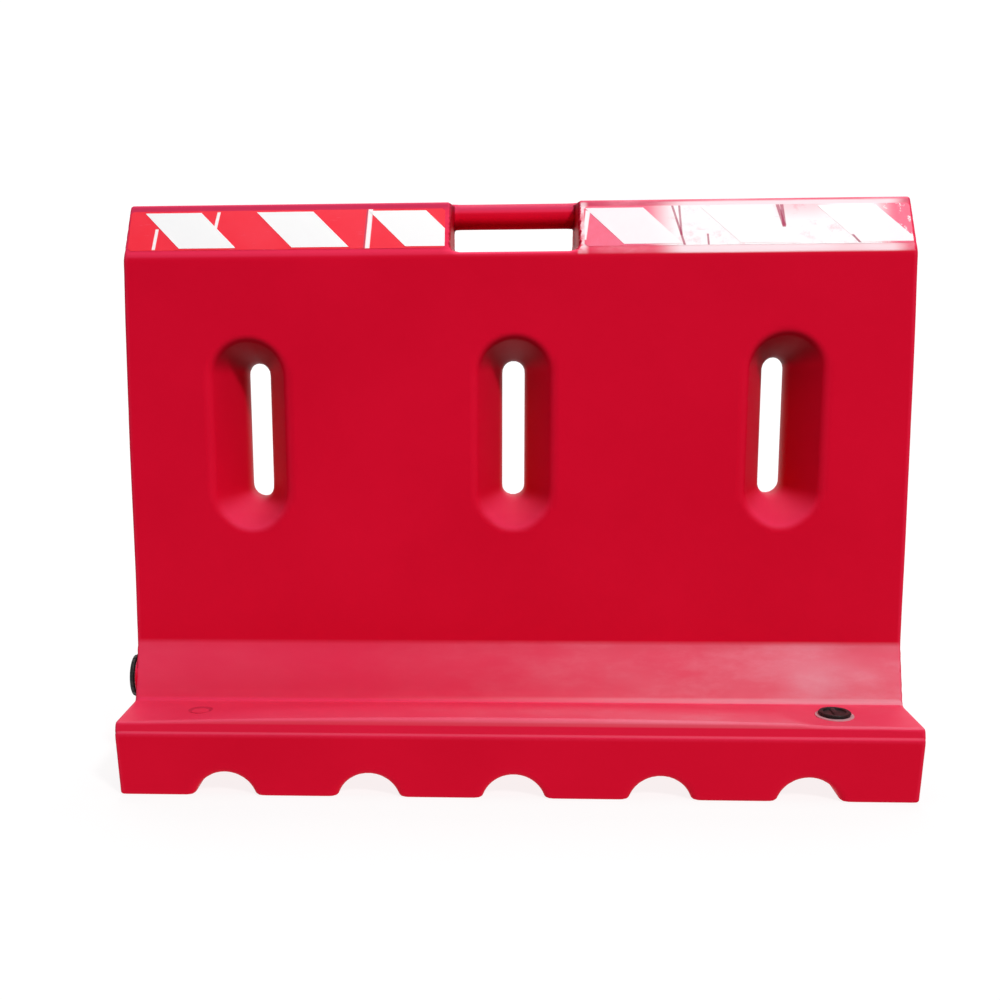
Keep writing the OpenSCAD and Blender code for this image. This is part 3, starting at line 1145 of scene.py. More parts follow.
class GeometryKit:
    """Builds a Geometry Nodes tree with named inputs and runs it into a plain mesh."""

    def __init__(self, name: str) -> None:
        """Starts a tree with one geometry output.

        Args:
            name: The tree's name.
        """
        self.tree = bpy.data.node_groups.new(name, "GeometryNodeTree")
        self.tree.interface.new_socket(
            "Geometry", in_out="OUTPUT", socket_type="NodeSocketGeometry"
        )
        self.inputs = self.tree.nodes.new("NodeGroupInput")
        self.values: dict[str, object] = {}

    def size(self, name: str, value: float | int) -> bpy.types.NodeSocket:
        """Adds a named input.

        Args:
            name: The input's name.
            value: What it is set to.

        Returns:
            The socket.
        """
        kind = "NodeSocketInt" if isinstance(value, int) else "NodeSocketFloat"
        made = self.tree.interface.new_socket(name, in_out="INPUT", socket_type=kind)
        self.values[made.identifier] = value
        return self.inputs.outputs[name]

    def node(
        self, kind: str, settings: dict | None = None, inputs: dict | None = None
    ) -> bpy.types.Node:
        """Adds a node with its settings, and its sockets' values or links.

        Args:
            kind: The node's type name.
            settings: Its properties.
            inputs: Values or sockets by socket name or number.

        Returns:
            The new node.
        """
        made = self.tree.nodes.new(kind)
        for key, value in (settings or {}).items():
            setattr(made, key, value)
        for key, value in (inputs or {}).items():
            if isinstance(value, bpy.types.NodeSocket):
                self.tree.links.new(value, made.inputs[key])
            else:
                made.inputs[key].default_value = value
        return made

    def vector(self, x: object = 0.0, y: object = 0.0, z: object = 0.0) -> bpy.types.NodeSocket:
        """A vector from three numbers or sockets."""
        return self.node("ShaderNodeCombineXYZ", {}, {"X": x, "Y": y, "Z": z}).outputs[0]

    def maths(self, operation: str, *values: object) -> bpy.types.NodeSocket:
        """The result of a Math node."""
        made = self.node("ShaderNodeMath", {"operation": operation}, dict(enumerate(values)))
        return made.outputs[0]

    def run(
        self, name: str, geometry: bpy.types.NodeSocket, material: bpy.types.Material,
        seed_mesh: bpy.types.Object | None = None,
    ) -> bpy.types.Object:
        """Ends the tree and turns its result into a plain mesh object.

        Args:
            name: The new object's name.
            geometry: The socket that gives the finished geometry.
            material: The material that the result takes.
            seed_mesh: An object whose own mesh the tree starts from.

        Returns:
            The object, with no modifier left on it.
        """
        real = self.node("GeometryNodeRealizeInstances", {}, {0: geometry}).outputs[0]
        dressed = self.node("GeometryNodeSetMaterial", {}, {"Geometry": real, "Material": material})
        end = self.tree.nodes.new("NodeGroupOutput")
        self.tree.links.new(dressed.outputs[0], end.inputs[0])
        made = seed_mesh or to_object(name, np.zeros((0, 3)), [])
        modifier = made.modifiers.new("build", "NODES")
        modifier.node_group = self.tree
        for identifier, value in self.values.items():
            modifier[identifier] = value
        bake_modifiers(made)
        made.name = name
        return made


def ridge_section(
    kit: GeometryKit, root: float, height: float, degrees: float
) -> bpy.types.NodeSocket:
    """Adds a thread ridge's cross-section, wide at its root and narrow at its crest.

    Args:
        kit: The tree being built.
        root: Width of the root.
        height: Distance from the root to the crest.
        degrees: Turn of the section, so that its crest faces the right way.

    Returns:
        The socket that gives the closed curve.
    """
    profile = kit.node(
        "GeometryNodeCurvePrimitiveQuadrilateral",
        {"mode": "TRAPEZOID"},
        {
            "Bottom Width": kit.size("Root width", root),
            "Top Width": kit.size("Crest width", root * 0.4),
            "Height": kit.size("Ridge height", height),
            "Offset": 0.0,
        },
    )
    turned = kit.node(
        "GeometryNodeTransform",
        {},
        {"Geometry": profile.outputs[0], "Rotation": kit.vector(z=math.radians(degrees))},
    )
    return turned.outputs[0]


def helix_ridge(
    name: str, radius: float, root: float, stand: float, turns: float, start: float, rise: float,
    inward: bool, material: bpy.types.Material,
) -> bpy.types.Object:
    """Builds a right-hand screw thread's ridge along a helix about Z.

    Args:
        name: The object's name.
        radius: Radius of the cylinder that the ridge grows from.
        root: Width of the ridge's root.
        stand: How far the ridge stands out of the cylinder.
        turns: Number of turns.
        start: Height of the ridge's lower end.
        rise: The thread's pitch.
        inward: Whether the ridge faces the axis, as in a nut.
        material: The ridge's material.

    Returns:
        The ridge as a plain mesh.
    """
    kit = GeometryKit(name)
    sunk, side = 0.0001, -1 if inward else 1
    middle = radius + side * (stand - sunk) / 2
    r, n = kit.size("Radius", middle), kit.size("Turns", turns)
    pitch = kit.size("Pitch", rise)
    spiral = kit.node(
        "GeometryNodeCurveSpiral",
        {},
        {
            "Resolution": 64,
            "Rotations": n,
            "Start Radius": r,
            "End Radius": r,
            "Height": kit.maths("MULTIPLY", n, pitch),
            "Reverse": True,
        },
    )
    upright = kit.node(
        "GeometryNodeSetCurveNormal", {"mode": "Z_UP"}, {"Curve": spiral.outputs[0]}
    )
    tube = kit.node(
        "GeometryNodeCurveToMesh",
        {},
        {
            "Curve": upright.outputs[0],
            "Profile Curve": ridge_section(kit, root, stand + sunk, -90 * side),
            "Fill Caps": True,
        },
    )
    moved = kit.node(
        "GeometryNodeTransform",
        {},
        {"Geometry": tube.outputs[0], "Translation": kit.vector(z=start)},
    )
    return kit.run(name, moved.outputs[0], material)


# Sub-assemblies


@dataclass
class Moulding:
    """The hollow body: its outer skin, the tank inside it, and the drain's boss."""

    form: BarrierForm
    material: bpy.types.Material
    fill_at: Point
    drain_at: Point
    fill_bore: float = 0.0223
    drain_bore: float = 0.0243
    boss_r: float = 0.035
    boss_sunk: float = 0.006
    bore_run: Pair = (-0.016, 0.012)
    bore_steps: int = 64
    inner_cell: float = 0.018
    skin_band: float = 0.0004
    bend_reach: float = 0.004
    bend_gain: float = 0.006

    def grid(self) -> tuple[np.ndarray, np.ndarray, np.ndarray]:
        """Line places, close together where the shape has edges.

        Returns:
            The places along X, Y and Z.
        """
        xs = mirrored(
            graded((0, 62, 6.9), (62, 168, 13), (168, 268, 8.3), (268, 340, 12),
                   (340, 488, 7.0), (488, 560, 12), (560, 604, 4.9))
        )
        ys = mirrored(
            graded((0, 24, 4.8), (24, 56, 10), (56, 72, 3.2), (72, 98, 8.7), (98, 142, 4.4),
                   (142, 230, 14), (230, 241, 4.0), (241, 253, 2.0))
        )
        zs = graded((-4, 8, 3.0), (8, 94, 8.6), (94, 132, 2.6), (132, 196, 9), (196, 216, 4),
                    (216, 384, 14), (384, 470, 6.2), (470, 590, 14), (590, 690, 6.2),
                    (690, 784, 14), (784, 868, 4.9), (868, 886, 3.0))
        return xs, ys, zs

    def outer_skin(self) -> bpy.types.Object:
        """The outside of the moulding.

        Returns:
            The skin as a mesh object.
        """
        vertices, quads = surface_net(self.form.distance, self.grid())
        vertices = settle(self.form.distance, vertices)
        return to_object("outer_skin", vertices, quads)

    def inner_skin(self) -> bpy.types.Object:
        """The inside of the tank, facing into it.

        Returns:
            The skin as a mesh object.
        """
        xs = np.arange(-0.612, 0.613, self.inner_cell)
        ys = np.arange(-0.261, 0.262, self.inner_cell)
        zs = np.arange(-0.012, 0.898, self.inner_cell)
        vertices, quads = surface_net(self.form.tank, (xs, ys, zs))
        return to_object("inner_skin", settle(self.form.tank, vertices, 2), quads)

    def drill(self, body: bpy.types.Object, at: Point, axis: Point, radius: float) -> None:
        """Cuts a bush's bore through the wall.

        Args:
            body: The moulding.
            at: The middle of the bore's mouth.
            axis: The way out of the wall.
            radius: The bore's radius.
        """
        turn = Vector((0, 0, 1)).rotation_difference(Vector(axis)).to_matrix()
        n = self.bore_steps
        ring = [
            (radius * math.cos(a), radius * math.sin(a))
            for a in np.linspace(0, 2 * math.pi, n, endpoint=False)
        ]
        points = [turn @ Vector((u, v, h)) + Vector(at) for h in self.bore_run for u, v in ring]
        faces = [tuple(range(n - 1, -1, -1)), tuple(range(n, 2 * n))]
        faces += [(i, (i + 1) % n, n + (i + 1) % n, n + i) for i in range(n)]
        tool = to_object("drill", np.array(points), faces, smooth=False)
        cut = body.modifiers.new("bore", "BOOLEAN")
        cut.operation, cut.object, cut.solver = "DIFFERENCE", tool, "MANIFOLD"
        bake_modifiers(body)
        bpy.data.objects.remove(tool)

    def boss(self) -> bpy.types.Object:
        """The raised ring around the drain bush.

        Returns:
            The ring, in its place.
        """
        ring = rounded(
            [
                (self.drain_bore, -self.boss_sunk, 0.0), (self.boss_r, -self.boss_sunk, 0.0),
                (self.boss_r, 0.0, 0.0015), (self.drain_bore, 0.0, 0.0),
            ]
        )
        made = lathed("drain_boss", ring)
        made.data.transform(
            Matrix.Translation(self.drain_at)
            @ Vector((0, 0, 1)).rotation_difference(Vector((-1, 0, 0))).to_matrix().to_4x4()
        )
        return made

    def shade(self, body: bpy.types.Object) -> None:
        """Gives the skin the form's own normals, except where a bore cuts through it.

        Args:
            body: The finished moulding.
        """
        mesh = body.data
        mesh.polygons.foreach_set("use_smooth", [True] * len(mesh.polygons))
        points = vertex_array(mesh)
        outside = np.abs(self.form.distance(points)) < self.skin_band
        true = gradient(self.form.distance, points)
        true[~outside] *= -1.0
        corner_vertex = np.empty(len(mesh.loops), dtype=np.int32)
        mesh.loops.foreach_get("vertex_index", corner_vertex)
        face_of = np.repeat(
            np.arange(len(mesh.polygons)), [len(p.vertices) for p in mesh.polygons]
        )
        flat = np.empty(len(mesh.polygons) * 3)
        mesh.polygons.foreach_get("normal", flat)
        own = flat.reshape(-1, 3)[face_of]
        wanted = true[corner_vertex]
        agrees = (own * wanted).sum(-1) > 0.5
        mesh.normals_split_custom_set(np.where(agrees[:, None], wanted, own).tolist())

    def mark(self, body: bpy.types.Object) -> None:
        """Stores where the skin is an edge, a hollow or the ramp, for its material.

        Args:
            body: The finished moulding.
        """
        mesh = body.data
        points = vertex_array(mesh)
        depth = self.form.distance(points)
        outside = np.abs(depth) < self.skin_band
        reach = self.bend_reach
        bend = sum(
            self.form.distance(points + reach * axis) + self.form.distance(points - reach * axis)
            for axis in np.eye(3)
        ) - 6 * depth
        bend = bend / reach**2 * outside
        ay, z = np.abs(points[:, 1]), points[:, 2]
        foot, head = self.form.ledge + 0.002, self.form.ramp_top + 0.003
        ramp = np.clip((z - foot) / 0.004, 0, 1) * np.clip((head - z) / 0.006, 0, 1)
        ramp *= np.clip((ay - self.form.panel + 0.003) / 0.003, 0, 1)
        for name, values in (
            ("edge", np.clip(bend * self.bend_gain, 0, 1)),
            ("hollow", np.clip(-bend * self.bend_gain, 0, 1)),
            ("ramp_zone", ramp),
        ):
            layer = mesh.attributes.new(name, "FLOAT", "POINT")
            layer.data.foreach_set("value", values.astype(np.float32))

    def build(self) -> None:
        body = joined("moulded_body", [self.outer_skin(), self.inner_skin()])
        self.drill(body, self.fill_at, (0, 0, 1), self.fill_bore)
        self.drill(body, self.drain_at, (-1, 0, 0), self.drain_bore)
        self.shade(body)
        self.mark(body)
        body.data.materials.clear()
        body.data.materials.append(self.material)
        fit_out(body, Body.BARRIER, ("barrier_shell",))
        boss = self.boss()
        angle_smooth(boss)
        boss.data.materials.append(self.material)
        fit_out(boss, Body.BARRIER)


@dataclass
class PartingLine:
    """The fine bead that the mould's two halves leave around the middle of the body."""

    form: BarrierForm
    material: bpy.types.Material
    radius: float = 0.0008
    step: float = 0.006
    start: float = 0.012
    clear: float = 0.001

    def path(self, corners: list[Pair]) -> np.ndarray:
        """Points along a line of (x, z) corners, settled onto the body's surface.

        Args:
            corners: The line's corners.

        Returns:
            The points.
        """
        points: list[Point] = []
        for (x0, z0), (x1, z1) in zip(corners, corners[1:]):
            count = max(2, round(math.hypot(x1 - x0, z1 - z0) / self.step))
            points += [
                (x0 + (x1 - x0) * i / count, 0.0, z0 + (z1 - z0) * i / count) for i in range(count)
            ]
        points.append((corners[-1][0], 0.0, corners[-1][1]))
        settled = settle(self.form.distance, np.array(points), 6)
        settled[:, 1] = 0.0
        reach = self.form.ends[1][1] - self.radius
        settled[:, 0] = np.clip(settled[:, 0], -reach, reach)
        settled[:, 2] = np.minimum(settled[:, 2], self.form.height - self.radius)
        return settled

    def bead(self, name: str, points: np.ndarray) -> bpy.types.Object:
        """A thin round bead along the points.

        Args:
            name: The new object's name.
            points: The points to follow.

        Returns:
            The bead.
        """
        wire = to_object(name, points, [])
        wire.data.edges.add(len(points) - 1)
        wire.data.edges.foreach_set(
            "vertices", [v for i in range(len(points) - 1) for v in (i, i + 1)]
        )
        kit = GeometryKit(name)
        geometry = kit.tree.interface.new_socket(
            "Path", in_out="INPUT", socket_type="NodeSocketGeometry"
        )
        kit.tree.interface.move(geometry, 0)
        curve = kit.node("GeometryNodeMeshToCurve", {}, {"Mesh": kit.inputs.outputs["Path"]})
        profile = kit.node(
            "GeometryNodeCurvePrimitiveCircle",
            {},
            {"Resolution": 6, "Radius": kit.size("Bead radius", self.radius)},
        )
        tube = kit.node(
            "GeometryNodeCurveToMesh",
            {},
            {"Curve": curve.outputs[0], "Profile Curve": profile.outputs[0], "Fill Caps": True},
        )
        made = kit.run(name, tube.outputs[0], self.material, wire)
        angle_smooth(made, 70)
        return made

    def build(self) -> None:
        """Builds the bead over both ends and along the ridge."""
        form = self.form
        for side, word in ((-1, "left"), (1, "right")):
            corners = [(side * x, z) for z, x in form.ends]
            corners[0] = (corners[0][0], self.start)
            jamb = side * (form.window_waist + self.clear)
            corners += [(jamb, form.height), (jamb, form.sill + self.start)]
            bead = self.bead(f"parting_line_{word}", self.path(corners))
            fit_out(bead, Body.BARRIER)


@dataclass
class TapeSheet:
    """One red sheet of reflective film on the roof's slope, with its white stripes."""

    side: str
    end: str
    red: bpy.types.Material
    white: bpy.types.Material
    form: BarrierForm
    sheet_t: float = 0.0005
    stripe_t: float = 0.0004
    stripe_h: float = 0.062
    sheet_w: float = 0.068
    stripe_lean: float = 0.056
    stripe_w: float = 0.086
    corner_cut: float = 0.004
    cell: float = 0.005
    stripes_along: float = 2.8
    first_left: float = 0.022
    first_right: float = 0.002

    def slope(self) -> Matrix:
        """Takes the sheet's own place (along, up the slope, out) to the roof.

        Returns:
            The matrix to the barrier's own place.
        """
        run = self.form.panel - self.form.ridge
        rise = self.form.height - self.form.eaves
        length = math.hypot(run, rise)
        base = Matrix(
            (
                (1, 0, 0, 0),
                (0, run / length, -rise / length, -self.form.panel),
                (0, rise / length, run / length, self.form.eaves),
                (0, 0, 0, 1),
            )
        )
        return base if self.side == "front" else Matrix.Rotation(math.pi, 4, "Z") @ base

    def lift(self, u: np.ndarray, v: np.ndarray) -> np.ndarray:
        """How far the film stands off the roof: low wrinkles and small bubbles.

        Args:
            u: Places along the sheet.
            v: Places up the slope.

        Returns:
            The height of each place above the roof.
        """
        wrinkle = 0.5 + 0.5 * np.sin(70 * u + 30 * v + 3 * np.sin(21 * u))
        crease = np.exp(-((((u * 9.0 + v * 6.0) % 1.0) - 0.5) ** 2) / 0.0012)
        return 0.00012 * wrinkle + 0.00022 * crease

    def extent(self, node: str) -> Pair:
        """From and to where a CAD node lies along the slope.

        Args:
            node: The CAD node's name.

        Returns:
            The lowest and the highest place.
        """
        low, high = (Vector(c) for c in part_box(node))
        back = self.slope().inverted()
        along = [
            (back @ Vector((x, y, z))).x
            for x in (low.x, high.x)
            for y in (low.y, high.y)
            for z in (low.z, high.z)
        ]
        return min(along), max(along)

    def film(
        self, name: str, outline: list[Pair], base: float, thick: float,
        material: bpy.types.Material,
    ) -> bpy.types.Object:
        """A thin film with the given outline, wrinkled with the sheet it belongs to.

        Args:
            name: The new object's name.
            outline: Its corners, anticlockwise.
            base: Height of its face over the roof.
            thick: Its thickness.
            material: Its material.

        Returns:
            The film, in its place.
        """
        us, vs = [u for u, _ in outline], [v for _, v in outline]
        nu = max(2, round((max(us) - min(us)) / self.cell))
        nv = max(2, round((max(vs) - min(vs)) / self.cell))
        shape = bmesh.new()
        bmesh.ops.create_grid(shape, x_segments=nu, y_segments=nv, size=0.5)
        for v in shape.verts:
            v.co.x = min(us) + (v.co.x + 0.5) * (max(us) - min(us))
            v.co.y = min(vs) + (v.co.y + 0.5) * (max(vs) - min(vs))
        for (u0, v0), (u1, v1) in zip(outline, outline[1:] + outline[:1]):
            away = Vector((v1 - v0, u0 - u1, 0.0)).normalized()
            bmesh.ops.bisect_plane(
                shape, geom=[*shape.verts, *shape.edges, *shape.faces], dist=1e-6,
                plane_co=(u0, v0, 0.0), plane_no=away, clear_outer=True,
            )
        for v in shape.verts:
            v.co.z = base + float(self.lift(np.array(v.co.x), np.array(v.co.y)))
        mesh = bpy.data.meshes.new(name)
        shape.to_mesh(mesh)
        shape.free()
        made = bpy.data.objects.new(name, mesh)
        bpy.context.scene.collection.objects.link(made)
        thickness = made.modifiers.new("thickness", "SOLIDIFY")
        thickness.thickness, thickness.offset = thick, -1.0
        bake_modifiers(made)
        made.data.transform(self.slope())
        made.data.materials.append(material)
        angle_smooth(made)
        return made

    def build(self) -> None:
        """Builds the sheet and its stripes."""
        word = f"{self.side}_{self.end}"
        slope_length = math.hypot(
            self.form.panel - self.form.ridge, self.form.height - self.form.eaves
        )
        low, high = self.extent(f"sheet_{word}")
        v0 = (slope_length - self.sheet_w) / 2
        v1 = v0 + self.sheet_w
        cut = self.corner_cut
        outline = [
            (low + cut, v0), (high - cut, v0), (high, v0 + cut), (high, v1 - cut),
            (high - cut, v1), (low + cut, v1), (low, v1 - cut), (low, v0 + cut),
        ]
        sheet = self.film(f"film_{word}", outline, self.sheet_t, self.sheet_t, self.red)
        fit_out(sheet, Body.BARRIER, (f"sheet_{word}",))
        s0 = (slope_length - self.stripe_h) / 2
        s1 = s0 + self.stripe_h
        pitch = (high - low) / self.stripes_along
        start = self.first_left if self.end == "left" else self.first_right
        for number in (1, 2, 3):
            top = low + start + (number - 1) * pitch
            foot = top + self.stripe_lean
            past = foot + self.stripe_w - high
            corners = [(foot, s0), (min(foot + self.stripe_w, high), s0)]
            if past > 0:
                corners.append((high, s0 + self.stripe_h * past / self.stripe_lean))
            corners += [(top + self.stripe_w, s1), (top, s1)]
            stripe = self.film(
                f"white_{word}_{number}", corners, self.sheet_t + self.stripe_t, self.stripe_t,
                self.white,
            )
            fit_out(stripe, Body.BARRIER, (f"stripe_{word}_{number}",))


@dataclass
class ScrewFitting:
    """A screw plug with its gasket and the bush moulded into the wall."""

    name: str
    at: Point
    out: Point
    thread_r: float
    head_r: float
    head_t: float
    flange_r: float
    seal_body: Body
    screw_body: Body
    plug_material: bpy.types.Material
    bush_material: bpy.types.Material
    rubber: bpy.types.Material
    flange_t: float = 0.0015
    gasket_t: float = 0.0015
    gasket_w: float = 0.005
    thread_l: float = 0.018
    gap: float = 0.0003
    slack: float = 0.0001
    bush_wall: float = 0.004
    pitch: float = 0.004
    thread_h: float = 0.0008
    grips: int = 20
    grip_r: float = 0.0015
    dish_in: float = 0.007
    dish_depth: float = 0.0025
    rib_w: float = 0.007
    rib_h: float = 0.0026
    rib_round: float = 0.0007

    def place(self) -> Matrix:
        """Takes the fitting's own place, +Z out of the wall, to the barrier."""
        turn = Vector((0, 0, 1)).rotation_difference(Vector(self.out)).to_matrix().to_4x4()
        return Matrix.Translation(self.at) @ turn

    def seat(
        self, made: bpy.types.Object, material: bpy.types.Material, degrees: float = 40.0
    ) -> bpy.types.Object:
        """Moves a part that was made about Z to its place, and dresses it.

        Args:
            made: The part.
            material: Its material, if it has none yet.
            degrees: The angle above which an edge stays crisp.

        Returns:
            The same part.
        """
        made.data.transform(self.place())
        if not made.data.materials:
            made.data.materials.append(material)
        angle_smooth(made, degrees)
        return made

    def bush(self) -> bpy.types.Object:
        """The bush: a rounded flange, a neck through the wall and an inner thread.

        Returns:
            The part, still about Z.
        """
        bore = self.thread_r + self.gap
        neck = bore + self.bush_wall
        ring = rounded(
            [
                (bore, self.flange_t, 0.0006), (bore, -self.thread_l, 0.0),
                (neck, -self.thread_l, 0.0005), (neck, 0.0, 0.0),
                (self.flange_r, 0.0, 0.0), (self.flange_r, self.flange_t, 0.0009),
            ]
        )
        body = lathed(f"{self.name}_bush_body", ring)
        body.data.materials.append(self.bush_material)
        return body

    def gasket(self) -> bpy.types.Object:
        """The rubber ring, with rounded edges.

        Returns:
            The ring, in its place.
        """
        inner = self.thread_r + self.gap
        z0 = self.flange_t + self.slack
        z1 = self.flange_t + self.gasket_t - self.slack
        ring = rounded(
            [
                (inner, z1, 0.0004), (inner, z0, 0.0004),
                (inner + self.gasket_w, z0, 0.0006), (inner + self.gasket_w, z1, 0.0006),
            ]
        )
        return self.seat(lathed(f"{self.name}_seal_ring", ring), self.rubber)

    def head(self) -> bpy.types.Object:
        """The plug's head and hollow shank, turned in one.

        Returns:
            The part, still about Z.
        """
        z0 = self.flange_t + self.gasket_t
        z1 = z0 + self.head_t
        root = self.thread_r - self.thread_h
        rim = self.head_r - 0.0012
        dish = self.head_r - self.dish_in
        floor = z1 - self.dish_depth
        inner = self.thread_r - self.bush_wall
        ring = rounded(
            [
                (0.0, floor, 0.0), (0.0, z0 - 0.0005, 0.0), (inner, z0 - 0.0005, 0.0008),
                (inner, z0 - self.thread_l, 0.0004), (root, z0 - self.thread_l, 0.0008),
                (root, z0, 0.0), (rim, z0, 0.0006), (rim, z1, 0.0014),
                (dish, z1, 0.0008), (dish - 0.0008, floor, 0.0006),
            ]
        )
        return lathed(f"{self.name}_plug_head", ring)

    def rib(self) -> bpy.types.Object:
        """The turning rib across the head's dish, with rounded edges.

        Returns:
            The part, still about Z.
        """
        z1 = self.flange_t + self.gasket_t + self.head_t
        middle = z1 - self.dish_depth + 0.0007
        long = 2 * (self.head_r - self.dish_in - 0.0002)
        shape = bmesh.new()
        bmesh.ops.create_cube(shape, size=1.0)
        for v in shape.verts:
            x, y, z = v.co
            v.co = Vector((x * self.rib_w, y * long, middle + z * self.rib_h))
        bmesh.ops.bevel(
            shape, geom=shape.edges[:], offset=self.rib_round, segments=3, affect="EDGES",
            profile=0.5,
        )
        mesh = bpy.data.meshes.new(f"{self.name}_rib")
        shape.to_mesh(mesh)
        shape.free()
        made = bpy.data.objects.new(f"{self.name}_rib", mesh)
        bpy.context.scene.collection.objects.link(made)
        return made

    def grip_ribs(self) -> bpy.types.Object:
        """Small ribs around the head's rim, for the hand.

        Returns:
            The ribs, still about Z.
        """
        kit = GeometryKit(f"{self.name}_grips")
        z0 = self.flange_t + self.gasket_t
        ring = kit.node(
            "GeometryNodeMeshCircle",
            {},
            {
                "Vertices": kit.size("Number of ribs", self.grips),
                "Radius": kit.size("Ring radius", self.head_r - 0.0016),
            },
        )
        rib = kit.node(
            "GeometryNodeMeshCylinder",
            {"fill_type": "NGON"},
            {
                "Vertices": 10,
                "Radius": kit.size("Rib radius", self.grip_r),
                "Depth": kit.size("Rib height", self.head_t - 0.0024),
            },
        )
        many = kit.node(
            "GeometryNodeInstanceOnPoints",
            {},
            {"Points": ring.outputs[0], "Instance": rib.outputs[0]},
        )
        raised = kit.node(
            "GeometryNodeTransform",
            {},
            {
                "Geometry": many.outputs[0],
                "Translation": kit.vector(z=z0 + self.head_t / 2 - 0.0004),
            },
        )
        return kit.run(f"{self.name}_grips", raised.outputs[0], self.plug_material)

    def thread(self, name: str, inner: bool, material: bpy.types.Material) -> bpy.types.Object:
        """One screw thread: on the plug, or facing inwards in the bush.

        Args:
            name: The new object's name.
            inner: Whether it is the bush's thread.
            material: Its material.

        Returns:
            The thread's ridge, still about Z.
        """
        start = -self.thread_l + 0.002
        if inner:
            radius, stand = self.thread_r + self.gap, self.thread_h - 0.0001
        else:
            radius, stand = self.thread_r - self.thread_h, self.thread_h
            start += self.pitch / 2
        turns = (self.thread_l - 0.005) / self.pitch
        return helix_ridge(
            name, radius, self.pitch * 0.45, stand, turns, start, self.pitch, inner, material
        )

    def build(self) -> None:
        """Builds the bush, the gasket and the plug."""
        bush = joined(
            f"{self.name}_bush_ring",
            [self.bush(), self.thread(f"{self.name}_bush_thread", True, self.bush_material)],
        )
        fit_out(
            self.seat(bush, self.bush_material), Body.BARRIER, (f"{self.name}_bush",)
        )
        fit_out(self.gasket(), self.seal_body, (f"{self.name}_gasket",))
        parts = [self.head(), self.rib()]
        for part in parts:
            part.data.materials.append(self.plug_material)
        parts += [
            self.grip_ribs(),
            self.thread(f"{self.name}_plug_thread", False, self.plug_material),
        ]
        plug = self.seat(joined(f"{self.name}_screw_plug", parts), self.plug_material)
        fit_out(plug, self.screw_body, (f"{self.name}_plug",))


# The studio


@dataclass(frozen=True)
class Lamp:
    """A soft square light at a place, aimed at a point."""

    name: str
    at: Point
    aim: Point
    size: float
    power: float

    def build(self) -> None:
        """Adds the light to the scene."""
        data = bpy.data.lights.new(self.name, "AREA")
        data.shape, data.size, data.energy = "SQUARE", self.size, self.power
        made = bpy.data.objects.new(self.name, data)
        made.location = self.at
        aim = Vector(self.aim) - Vector(self.at)
        made.rotation_euler = aim.to_track_quat("-Z", "Y").to_euler()
        bpy.context.scene.collection.objects.link(made)


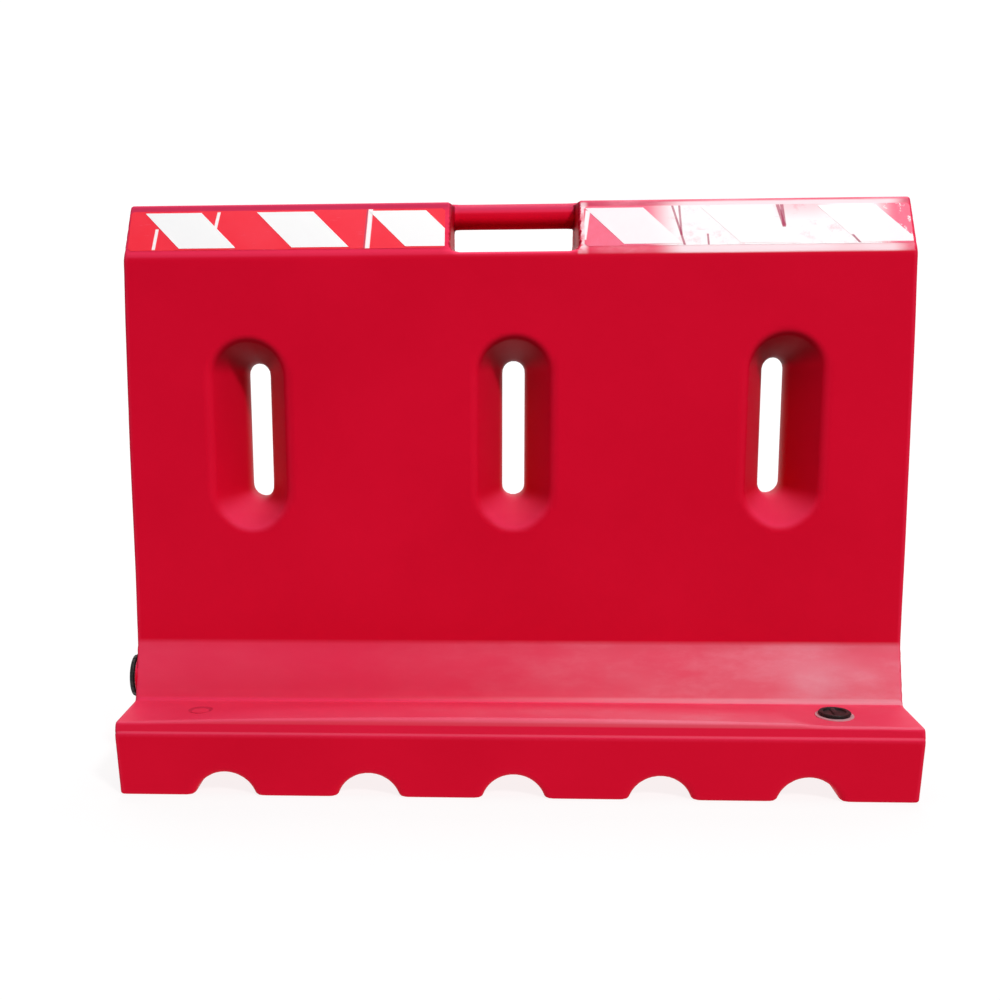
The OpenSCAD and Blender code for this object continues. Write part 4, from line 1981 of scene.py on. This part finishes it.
@dataclass(frozen=True)
class Studio:
    """A pale floor, soft lights and the camera."""

    eye: Point = (-0.0182, -2.1045, 0.7310)
    yaw: float = -3.1
    pitch: float = 10.8
    roll: float = -0.5
    lens: float = 47.16
    shift: Pair = (0.0679, 0.0521)
    sweep_front: float = -1.15
    sweep_back: float = 2.2
    sweep_r: float = 1.3
    sweep_top: float = 5.0
    sweep_half: float = 6.0
    floor_half: float = 12.0
    air: float = 0.14
    lamps: tuple[Lamp, ...] = (
        Lamp("key", (2.09, -3.94, 4.41), (0.0, 0.0, 0.40), 0.7, 206.0),
        Lamp("sky", (0.0, 0.3, 3.4), (0.0, 0.2, 0.0), 3.0, 44.0),
        Lamp("backdrop", (0.0, 1.6, 4.2), (0.0, 3.6, 1.6), 2.6, 150.0),
    )

    def camera(self) -> None:
        """Places the camera."""
        yaw, pitch, roll = (math.radians(a) for a in (self.yaw, self.pitch, self.roll))
        ahead = Vector(
            (math.sin(yaw) * math.cos(pitch), math.cos(yaw) * math.cos(pitch), -math.sin(pitch))
        )
        right = Vector((math.cos(yaw), -math.sin(yaw), 0.0))
        up = right.cross(ahead)
        tilted = right * math.cos(roll) + up * math.sin(roll)
        upright = up * math.cos(roll) - right * math.sin(roll)
        data = bpy.data.cameras.new("camera")
        data.lens, data.sensor_width = self.lens, 36.0
        data.shift_x, data.shift_y = self.shift
        made = bpy.data.objects.new("camera", data)
        turn = Matrix((tilted, upright, -ahead)).transposed().to_4x4()
        made.matrix_world = Matrix.Translation(self.eye) @ turn
        bpy.context.scene.collection.objects.link(made)
        bpy.context.scene.camera = made

    def floor(self) -> None:
        """A pale paper sweep that curves up behind the object, on a grey floor."""
        back, bend, wide, half = self.sweep_back, self.sweep_r, self.sweep_half, self.floor_half
        profile = [(self.sweep_front, 0.0), (back, 0.0)]
        profile += [
            (back + bend * math.sin(a), bend - bend * math.cos(a))
            for a in np.linspace(0.1, math.pi / 2, 12)
        ]
        profile.append((back + bend, self.sweep_top))
        points = [(x, y, z) for y, z in profile for x in (-wide, wide)]
        faces = [(2 * i, 2 * i + 1, 2 * i + 3, 2 * i + 2) for i in range(len(profile) - 1)]
        paper = to_object("paper_sweep", np.array(points), faces)
        paper.data.materials.append(PlainStudio("pale_paper", (0.15, 0.15, 0.15), 0.86).build())
        corners = [(x * half, y * half, -0.02) for x, y in ((-1, -1), (1, -1), (1, 1), (-1, 1))]
        ground = to_object("grey_floor", np.array(corners), [(0, 1, 2, 3)])
        ground.data.materials.append(PlainStudio("grey_floor", (0.3, 0.3, 0.3), 0.12).build())

    def build(self) -> None:
        """Sets up the floor, the lights and the camera."""
        self.floor()
        world = bpy.data.worlds.new("studio_air")
        world.use_nodes = True
        air = world.node_tree.nodes["Background"].inputs
        air["Color"].default_value = (1.0, 1.0, 1.0, 1.0)
        air["Strength"].default_value = self.air
        bpy.context.scene.world = world
        bpy.context.scene.view_settings.view_transform = "Standard"
        for lamp in self.lamps:
            lamp.build()
        self.camera()


def main() -> None:
    """Builds the barrier's looks, piece by piece."""
    logging.basicConfig(level=logging.INFO, format="%(name)s: %(message)s")
    Studio().build()
    form = BarrierForm()
    red = MouldedPlastic().build()
    black = FineMoulding(
        "plug_black_plastic", srgb(13, 14, 13), srgb(84, 80, 74), 0.42, 0.12
    ).build()
    pink = FineMoulding("bush_pink_plastic", srgb(206, 150, 158), srgb(226, 196, 198), 0.5).build()
    rubber = FineMoulding("gasket_black_rubber", srgb(30, 28, 28), srgb(92, 88, 86), 0.7).build()
    film_red = ReflectiveFilm("film_red", srgb(250, 28, 50), srgb(246, 120, 150)).build()
    film_white = ReflectiveFilm("film_white", srgb(252, 252, 252), srgb(250, 238, 242)).build()
    Moulding(form, red, FILL_AT, DRAIN_AT).build()
    PartingLine(form, red).build()
    for side in ("front", "back"):
        for end in ("left", "right"):
            TapeSheet(side, end, film_red, film_white, form).build()
    ScrewFitting(
        "fill", FILL_AT, (0, 0, 1), 0.018, 0.0245, 0.004, 0.0285, Body.FILL_SEAL,
        Body.FILL_SCREW, black, pink, rubber,
    ).build()
    ScrewFitting(
        "drain", DRAIN_AT, (-1, 0, 0), 0.020, 0.034, 0.006, 0.031, Body.DRAIN_SEAL,
        Body.DRAIN_SCREW, black, pink, rubber,
    ).build()


if __name__ == "__main__":
    main()
